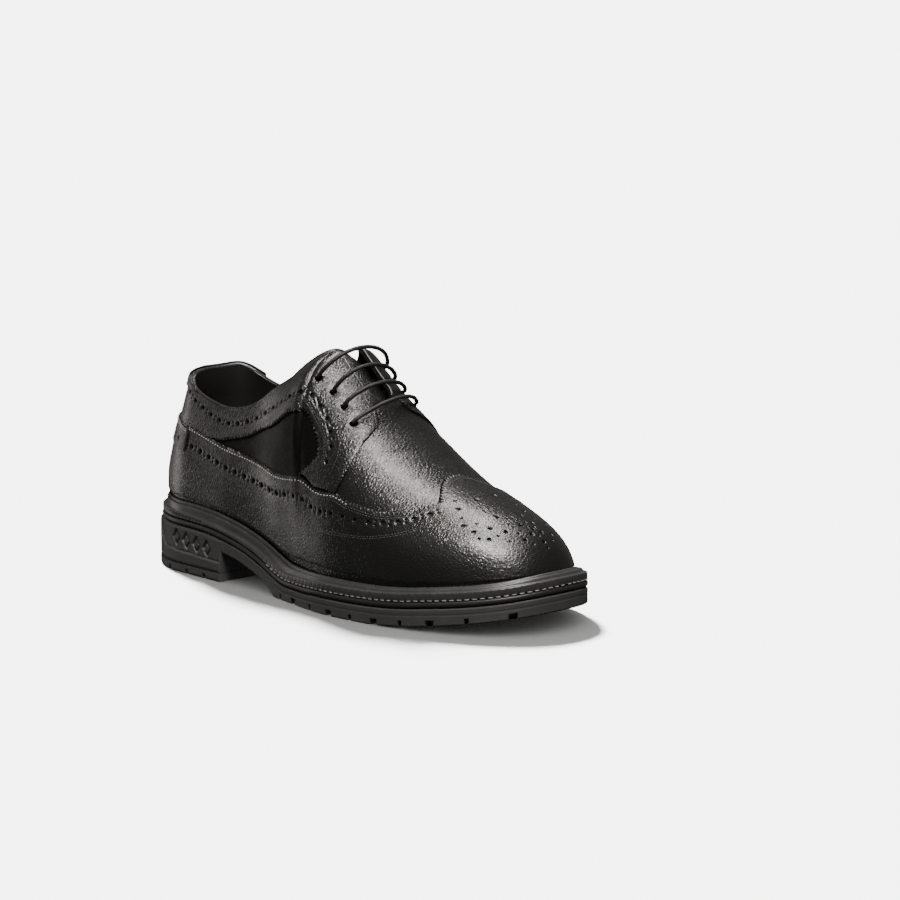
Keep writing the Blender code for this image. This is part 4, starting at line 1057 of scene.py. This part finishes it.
# Quarters: collar band and eyelet facing cut in one piece a side, round a window of plain
# leather. Gimped edges on the window, plain folded edges at the throat and down the flap,
# holes between two lines of stitching.
WINDOW = [(.318, .672), (.336, .692), (.3560, .722), (.3850, .742), (.4175, .748), (.4450, .725),
          (.4703, .681), (.494, .625), (.5071, .580), (.5325, .530), (.5426, .494), (.5468, .452),
          (.5440, .415), (.5374, .388), (.5252, .345), (.5121, .318)]
FLAP = [(.5785, .351), (.5850, .420), (.5901, .495), (.5935, .575), (.5953, .654), (.5968, .74),
        (.5960, .831), (.5929, .868), (.5882, .887), (.5810, .900)]
BAND_HOLES = [(.060, .880), (.130, .905), (.1900, .935), (.2346, .915), (.2666, .905),
              (.2996, .878), (.3274, .860), (.3580, .853), (.3869, .858), (.4203, .848), (.4533, .822),
              (.4790, .760), (.4954, .697), (.5260, .625), (.5466, .610), (.5580, .570),
              (.5640, .520), (.5620, .450), (.5560, .400)]
INNER_SEAM = [(.335, .722), (.375, .768), (.4175, .778), (.455, .748), (.4800, .700),
              (.505, .635), (.5245, .575), (.5403, .548), (.5516, .520), (.5560, .470),
              (.553, .420), (.545, .385), (.534, .352)]
OUTER_SEAM = [(.30, .93), (.35, .905), (.41, .895), (.46, .872), (.487, .800), (.5080, .720),
              (.5273, .672), (.5443, .672), (.5573, .660), (.5680, .629), (.5742, .571),
              (.5750, .500), (.5700, .420), (.5650, .385)]
FACING_LEATHER = leather("grained facing calf", 0.0095, 0.25, 1.9, 0.00015, 0.3, (1.1, 0.8, 1))
SEAM_AT = 0.004            # the band ends this close to the back seam


def above_wing(start, end, count):
    """A run just above the wing's edge, straight in q and read from the edge in h."""
    q = np.linspace(start, end, count)
    return np.stack([q, np.interp(q, *np.array(WING_EDGE).T) + 0.008], -1)


def on_side(points, s):
    """Lateral points in (q, h) as they are, or mirrored for the medial side."""
    points = np.array(points, float)
    return points if s < 0 else np.stack([2 - points[..., 0], points[..., 1]], -1)


for word, s in (("lateral", -1.0), ("medial", 1.0)):
    top_r = np.interp(np.linspace(0, ARC[-1] * 0.9, 500), ARC, ARC_R)
    top_r = top_r[(top_r > SEAM_AT) & (top_r < 0.581)]
    top_run = np.stack([top_r, top_height(top_r, np.full(top_r.shape, s)) - 0.001], -1)
    flap = run(FLAP, 1.0)[::-1]
    flap = flap[1:] if np.allclose(flap[0], top_run[-1]) else flap
    window = gimped(WINDOW)[::-1]
    under, foot = above_wing(0.306, SEAM_AT, 60), above_wing(flap[-1, 0], window[0, 0], 30)
    foot[0], foot[-1] = flap[-1], window[0]
    seam = np.stack([np.full(16, SEAM_AT), np.linspace(under[-1, 1], top_run[0, 1], 16)], -1)
    pieces = [top_run, np.array([top_run[-1], flap[0]]), flap, foot, window,
              np.array([window[-1], under[0]]), under, seam]
    holes = hole_row(BAND_HOLES, 1.2, 0.46, 1.1) + [(e, EYELET) for e in EYELETS]
    laid("facing_and_band_" + word, [on_side(p, s) for p in pieces],
         [(on_side(p, s), rad) for p, rad in holes], *OVERLAY, FACING_LEATHER, "facing_leather",
         ("quarter_" + word,), gap=1.5)
    rows = [INNER_SEAM, beside(run(INNER_SEAM, SEAM_STEP), 1.2), OUTER_SEAM,
            beside(run(FLAP, SEAM_STEP), 1.6)[1:-1]]
    rows = [on_side(row, s) for row in rows]
    seam_thread("facing_stitches_" + word, rows, 1.8, OVERLAY[1], UPPER_THREAD)

# Back tab and back patch: the tab is laid over the top of the back seam and reaches just past
# the topline, and the perforated patch covers the seam where the two wings meet. Both are a
# third layer, stitched at the edge.
BACK_LEATHER = leather("grained back calf", 0.011, 0.30, 1.6, 0.00010, 0.25)
BACK_END = 0.235           # both pieces end here, to the left and right of the seam
t = np.linspace(-1, 1, 70)
low_run = np.stack([BACK_END * t, 0.86 + 0.125 * np.abs(t)**1.6], -1)
high_run = np.stack([BACK_END * t[::-1], np.full(70, 1.015)], -1)
ends_l = np.array([low_run[-1], high_run[0]])
ends_r = np.array([high_run[-1], low_run[0]])
laid("back_tab_leather", [low_run, ends_l, high_run, ends_r], [], 1.45, 2.45, BACK_LEATHER,
     "back_leather", ("back_tab",), gap=1.5, skinned=False)
PATCH_LOW, PATCH_HIGH = 0.443, 0.655
t = np.linspace(-BACK_END, BACK_END, 80)
low_run = np.stack([t, PATCH_LOW + 0 * t], -1)
high_run = np.stack([t[::-1], PATCH_HIGH + 0 * t], -1)
left = np.stack([np.full(12, -BACK_END), np.linspace(PATCH_HIGH, PATCH_LOW, 12)], -1)
right = np.stack([np.full(12, BACK_END), np.linspace(PATCH_LOW, PATCH_HIGH, 12)], -1)
holes = [((q, 0.52), 1.15) for q in np.linspace(-0.2, 0.2, 10)]
holes += [((q, 0.52 + d), 0.5) for q in np.linspace(-0.178, 0.178, 9) for d in (-0.016, 0.016)]
laid("back_patch_leather", [low_run, right, high_run, left], holes, 1.45, 2.1, BACK_LEATHER,
     "back_leather", ("back_patch",), gap=1.5, skinned=False)
places = [np.array([(-0.228, h), (0, h), (0.228, h)]) for h in (0.640, 0.622)]
seam_thread("back_patch_stitches", places, 1.9, 2.38, PALE_THREAD_AND_PAINTED_GLINTS)
places = [np.stack([0.225 * np.linspace(-1, 1, 9),
                    0.877 + 0.115 * np.abs(np.linspace(-1, 1, 9))**1.6], -1)]
seam_thread("back_tab_stitches", places, 1.9, 2.48, UPPER_THREAD)


def tube(name, line, radius, finish, around=10, ring=False, stands_for=(), squash=1.0):
    """A round strip carried along a line: circles square to it, closed with domed ends."""
    step = np.gradient(line, axis=0)
    if ring:
        step = np.roll(line, -1, 0) - np.roll(line, 1, 0)
    step /= np.linalg.norm(step, axis=1, keepdims=True)
    up = np.zeros_like(line)
    up[0] = np.cross(step[0], [0.31, 0.87, 0.38])
    for k in range(len(line)):
        last = up[k - 1] if k else up[0]
        up[k] = last - step[k] * (last @ step[k])
        up[k] /= np.linalg.norm(up[k])
    side = np.cross(step, up)
    t = 2 * np.pi * np.arange(around) / around
    radius = np.broadcast_to(radius, len(line))
    rings = (line[:, None] + radius[:, None, None]
             * (np.cos(t)[None, :, None] * side[:, None]
                + squash * np.sin(t)[None, :, None] * up[:, None]))
    if not ring:
        caps = []
        for end, way in ((0, -1), (-1, 1)):
            caps.append([line[end] + way * step[end] * radius[end] * a
                         + (rings[end] - line[end]) * np.sqrt(1 - a * a)
                         for a in (0.55, 0.85, 0.999)])
        rings = np.concatenate([caps[0][::-1], rings, caps[1]])
    return piece(name, rings, grid_faces(len(rings), around, ring_n=ring, ring_m=True), finish,
                 stands_for, weld=0.003)


# Topline bead: the collar and the throat are bound by a narrow folded strip of the same
# leather, with a polished edge. Its tone, several times lighter than the upper's, is partly
# a painted highlight: it stands for the bright line of light along these edges.
BEAD_LEATHER_PAINTED_HIGHLIGHT = leather("folded edge binding with painted highlight", 0.07, 0.16, 0.8, 0.00004, 0.9)
for word, s in (("lateral", -1.0), ("medial", 1.0)):
    r = np.interp(np.linspace(0, ARC[-1], 420), ARC, ARC_R)
    r = r[(r > 0.0) & (r < 0.5800)]
    r = np.concatenate([[0.0], r])
    h = top_height(r, np.full(r.shape, s))
    q = r if s < 0 else 2 - r
    line = surface(q, h, np.where(r < 0.47, -0.3, 0.75))
    line = line * 0.5 + 0.25 * (np.concatenate([line[:1], line[:-1]])
                                + np.concatenate([line[1:], line[-1:]]))
    tube("topline_bead_" + word, line, 0.55, BEAD_LEATHER_PAINTED_HIGHLIGHT)

# Insole sock: thin black leather glued on the insole, slightly dished under heel and ball.
way = np.linspace(0, ARC[-1], 180)
r = np.interp(way, ARC, ARC_R)
x = share_at(r) * LENGTH
INSOLE = 3.5
base = SOLE("parting", x) + MIDSOLE + GAP
z = base[:, None] + INSOLE * np.array([0, 0.15, 0.85, 1.0])
e = (feather_inset(x) + WALL + 0.6)[:, None] + np.array([0.6, 0, 0, 0.6])
SOCK_LEATHER = leather("black sock leather", 0.012, 0.55, 0.9, 0.00004, 0.0)


def dished(x, y):
    """Two shallow hollows, each a Gaussian, under the heel and the ball."""
    heel = 1.2 * np.exp(-((x - 45) / 26)**2 - (y / 18)**2)
    return -heel - 1.0 * np.exp(-((x - 205) / 34)**2 - (y / 26)**2)


stack("insole_sock", r, [(e, z), (e, z)], SOCK_LEATHER, ("insole",),
      across=24, top=dished)

# Tongue: grained leather lined with cloth, stitched down inside the throat. It arches over
# the instep and its cut top edge stands above the facings.
TONGUE = table("place half depth drop",
               (-33.0, 22.0, 2.6, 4.6), (-20.0, 24.0, 2.9, 5.6), (-7.0, 24.0, 5.3, 8.6),
               (7.0, 24.0, 5.2, 11.8), (18.0, 24.0, 5.0, 14.8), (28.0, 23.5, 5.0, 17.8),
               (36.0, 22.3, 5.4, 20.5), (42.0, 21.0, 6.5, 22.0), (48.5, 20.5, 8.0, 25.0))
TONGUE_LOW, TONGUE_TOP = -33.0, 48.5
TONGUE_BEND, TONGUE_THICK = 1.25, 2.4
RIDGE_AT, RIDGE_UP = np.array([178.0, 0.0, 110.3]), np.array([-0.7415, 0.0, 0.671])
RIDGE_OUT = np.array([0.671, 0.0, 0.7415])
along = np.linspace(TONGUE_LOW, TONGUE_TOP, 90)
t = np.linspace(-1, 1, 56)
half, depth, drop = (TONGUE(name, along)[:, None] for name in ("half", "depth", "drop"))
faces_of = []
for extra in (0.0, TONGUE_THICK):
    roll = 0.7 * (np.abs(t)**14)[None] + 0.8 * (soft(along - TONGUE_TOP + 0.7, 1.6)[:, None])
    sink = extra + (roll if extra == 0.0 else -roll)
    wave = 0.22 * np.sin(along / 3.1)[:, None] * np.exp(-((np.abs(t) - 0.3) / 0.4)**2)[None]
    y = (half - 0.6 * extra) * np.sin(t * TONGUE_BEND)[None] / np.sin(TONGUE_BEND)
    w = (-depth - sink - wave * (extra == 0.0)
         - drop * (1 - np.cos(t * TONGUE_BEND))[None] / (1 - np.cos(TONGUE_BEND)))
    faces_of.append(RIDGE_AT + RIDGE_UP * along[:, None, None] + w[..., None] * RIDGE_OUT
                    + y[..., None] * np.array([0.0, 1.0, 0.0]))
rings = np.concatenate([faces_of[0], faces_of[1][:, ::-1]], 1)
rings = np.concatenate([rings.mean(1, keepdims=True).repeat(rings.shape[1], 1)[:1], rings,
                        rings.mean(1, keepdims=True).repeat(rings.shape[1], 1)[-1:]])
count = rings.shape[1]
half_way = count // 2
for end, row in ((0, 1), (-1, -2)):
    middle = (rings[row][:half_way] + rings[row][::-1][:half_way]) / 2
    rings[end] = np.concatenate([middle, middle[::-1]])
TONGUE_LEATHER = leather("grained tongue calf", 0.0115, 0.25, 1.9, 0.00015, 0.35)
piece("tongue_leather_and_lining", rings, grid_faces(*rings.shape[:2], ring_m=True),
      TONGUE_LEATHER, ("tongue",))

# Lace: one round waxed cotton cord, 2.3 mm thick, braided over a core. It crosses in four
# bars from eyelet to eyelet and its ends are tucked inside at the top eyelets.
LACE, LACE_STEP, LACE_EASE = 1.15, 0.55, 14
UNDER, OVER, ASIDE = -4.1, 3.0, 0.045
BARS = (((-28.0, 25.0), (15.0, 18.0)), ((-27.0, 24.0), (12.0, 12.5)),
        ((-24.0, 16.0), (13.0, 11.0)), ((-23.0, 7.0), (13.0, 13.0)))


def lane(k, j, side, shift, count):
    """Along the inside of the leather from eyelet k to eyelet j on one side."""
    t = np.linspace(0, 1, count + 2)[1:-1]
    (r0, h0), (r1, h1) = EYELETS[k], EYELETS[j]
    r, h = r0 + (r1 - r0) * t, h0 + (h1 - h0) * t - shift
    return list(surface(r if side < 0 else 2 - r, h, np.full(t.shape, UNDER)))


def bar(k, start):
    """A cubic arch from the lateral eyelet over the throat to the medial one."""
    ends = [eyelet(k, -1, OVER), eyelet(k, 1, OVER)]
    mids = []
    for (y, w), end in zip(BARS[k], ends):
        place = (end - RIDGE_AT) @ RIDGE_UP
        mids.append(RIDGE_AT + RIDGE_UP * place + RIDGE_OUT * w + np.array([0.0, y, 0.0]))
    t = np.linspace(0, 1, 13)[:, None]
    way = ((1 - t)**3 * ends[0] + 3 * (1 - t)**2 * t * mids[0] + 3 * (1 - t) * t**2 * mids[1]
           + t**3 * ends[1])
    return list(way if start < 0 else way[::-1])


path, hand = lane(0, 1, -1, 0.0, 3)[1::-1], -1
for k in range(4):
    path += [eyelet(k, hand, UNDER)] + bar(k, hand) + [eyelet(k, -hand, UNDER)]
    if k < 3:
        path += lane(k, k + 1, -hand, 0.0, 2)
    hand = -hand
path = np.array(path + lane(3, 0, hand, ASIDE, 4))
reach = np.concatenate([[0], np.cumsum(np.linalg.norm(np.diff(path, axis=0), axis=1))])
dense = np.linspace(0, reach[-1], int(reach[-1] / LACE_STEP))
line = np.stack([np.interp(dense, reach, path[:, k]) for k in range(3)], -1)
for _ in range(LACE_EASE):
    line[1:-1] = line[1:-1] * 0.5 + 0.25 * (line[:-2] + line[2:])
lace_finish = Finish("waxed cotton lace", Specular_IOR_Level=0.45)
lay = lace_finish.node("ShaderNodeTexWave", {"wave_type": "BANDS", "bands_direction": "DIAGONAL"},
                       {"Vector": lace_finish.place, "Scale": 330.0, "Distortion": 1.2})
knit = lace_finish.node("ShaderNodeTexWave", {"wave_type": "BANDS", "bands_direction": "Y"},
                        {"Vector": lace_finish.place, "Scale": 300.0, "Distortion": 1.5})
braid = lay * knit
LACE_CORD = lace_finish.set(
    Base_Color=lace_finish.mix(braid, (0.005, 0.005, 0.005, 1), (0.016, 0.0155, 0.015, 1)),
    Roughness=0.62 - braid * 0.16, Normal=lace_finish.bump(braid, 0.00014))
tube("round_lace", line, LACE, LACE_CORD, around=14, stands_for=("lace",))

# Studio: a pale floor and a pale wall all round it. The sun and a broad sky light the floor
# alone and give the soft shadow. Two softboxes over the shoe, a strip at the left and a weak
# world light the leather, so that its sides stay black under the highlights.
PALE, FLOOR_RADIUS, WALL_RADIUS, WALL_TALL = 6.1, 7.0, 6.9, 9.0
floor_mesh = bpy.data.meshes.new("floor")
t = np.linspace(0, 2 * np.pi, 97)[:-1]
ringed = np.stack([FLOOR_RADIUS * np.cos(t), FLOOR_RADIUS * np.sin(t), 0 * t], -1)
floor_mesh.from_pydata(ringed.tolist(), [], [tuple(range(96))])
floor = bpy.data.objects.new("floor", floor_mesh)
bpy.context.scene.collection.objects.link(floor)
paper = Finish("pale studio paper", Roughness=0.9, Specular_IOR_Level=0.0)
mottle = paper.noise(0.8, 2.0)
floor_mesh.materials.append(paper.set(Base_Color=paper.mix(
    mottle, (0.805, 0.805, 0.798, 1), (0.812, 0.812, 0.805, 1))))
wall_mesh = bpy.data.meshes.new("wall")
rings = np.stack([np.stack([WALL_RADIUS * np.cos(t), WALL_RADIUS * np.sin(t), 0 * t + z], -1)
                  for z in (-0.001, WALL_TALL)], 1)
wall_mesh.from_pydata(rings.reshape(-1, 3).tolist(), [],
                      grid_faces(96, 2, ring_n=True).tolist())
wall = bpy.data.objects.new("wall", wall_mesh)
bpy.context.scene.collection.objects.link(wall)
glow = Finish("lit studio wall", Base_Color=(0, 0, 0, 1), Specular_IOR_Level=0.0,
              Emission_Color=(1.0, 1.0, 0.99, 1), Emission_Strength=PALE)
wall_mesh.materials.append(glow.material)
for name in ("visible_diffuse", "visible_glossy", "visible_shadow", "visible_transmission"):
    setattr(wall, name, False)
floor.visible_glossy = floor.visible_diffuse = False
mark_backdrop(floor, wall)

world = bpy.data.worlds.new("studio")
bpy.context.scene.world = world
world.use_nodes = True
world.node_tree.nodes["Background"].inputs["Color"].default_value = (1.0, 0.98, 0.96, 1)
world.node_tree.nodes["Background"].inputs["Strength"].default_value = 0.13

AZIMUTH, RISE = np.radians(44.6), np.radians(9.1)
RIGHT = np.array([np.cos(AZIMUTH), np.sin(AZIMUTH), 0.0])
AWAY = np.array([-np.sin(AZIMUTH), np.cos(AZIMUTH), 0.0])
UPWARD = np.array([0.0, 0.0, 1.0])
ON_FLOOR, ON_SHOE = (bpy.data.collections.new(name) for name in ("floor_only", "shoe_only"))
ON_FLOOR.objects.link(floor)
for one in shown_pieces():
    ON_SHOE.objects.link(one)


def lamp(name, kind, power, where, lit, aim=(0, 0, 0.05), size=(1.0, 1.0), tint=(1, 1, 1)):
    """A lamp at (right, away, up) metres as the camera sees the shoe, turned to a point; its
    long side lies across that direction. It lights one collection."""
    data = bpy.data.lights.new(name, kind)
    data.energy, data.color = power, tint
    if kind == "AREA":
        data.shape, data.size, data.size_y = "RECTANGLE", *size
    else:
        data.angle = np.radians(size[0])
    obj = bpy.data.objects.new(name, data)
    place = where[0] * RIGHT + where[1] * AWAY + where[2] * UPWARD
    back = place - np.array(aim)
    back /= np.linalg.norm(back)
    across = np.cross(AWAY if abs(back @ AWAY) < 0.9 else UPWARD, back)
    across /= np.linalg.norm(across)
    turn = np.stack([across, np.cross(back, across), back], 1)
    obj.matrix_world = Matrix.Translation(place) @ Matrix(turn.tolist()).to_4x4()
    bpy.context.scene.collection.objects.link(obj)
    obj.light_linking.receiver_collection = lit


WARM = (1.0, 0.955, 0.90)
lamp("sun_behind_left", "SUN", 29.8, (-0.30, 0.84, 1.0), ON_FLOOR, size=(9.0, 0))
lamp("sky_on_floor", "SUN", 1.35, (0.0, 0.001, 1.0), ON_FLOOR, size=(170.0, 0))
lamp("softbox_above", "AREA", 18.0, (0.14, 0.04, 1.15), ON_SHOE, size=(0.20, 1.05), tint=WARM)
lamp("softbox_toe", "AREA", 24.0, (0.08, -0.74, 1.05), ON_SHOE, size=(0.34, 0.34), tint=WARM)
lamp("strip_left", "AREA", 2.4, (-1.15, 0.75, 0.12), ON_SHOE, size=(0.9, 0.4), tint=WARM)
lamp("fill_front", "AREA", 0.5, (-0.9, -1.1, 0.9), ON_SHOE, size=(0.6, 0.6))

# Camera: 1.47 m away, low over the floor, looking at the shoe's side and toe as the
# photograph does. The shoe stands left of the middle of the picture.
DISTANCE, SPAN = 1.47, 2612.0
looks_back = -AWAY * np.cos(RISE) + UPWARD * np.sin(RISE)
over = np.cross(looks_back, RIGHT)
target = (np.array([153.0, 0.0, 50.0]) - MIDDLE) * MM + RIGHT * 0.053 + over * 0.030
camera_data = bpy.data.cameras.new("camera")
camera_data.sensor_width = 36.0
camera_data.lens = SPAN / 900 * 36.0
camera = bpy.data.objects.new("camera", camera_data)
camera.location = target + looks_back * DISTANCE
camera.rotation_euler = Vector(-looks_back).to_track_quat("-Z", "Y").to_euler()
camera_data.clip_start, camera_data.clip_end = 0.05, 40.0
bpy.context.scene.collection.objects.link(camera)
bpy.context.scene.camera = camera
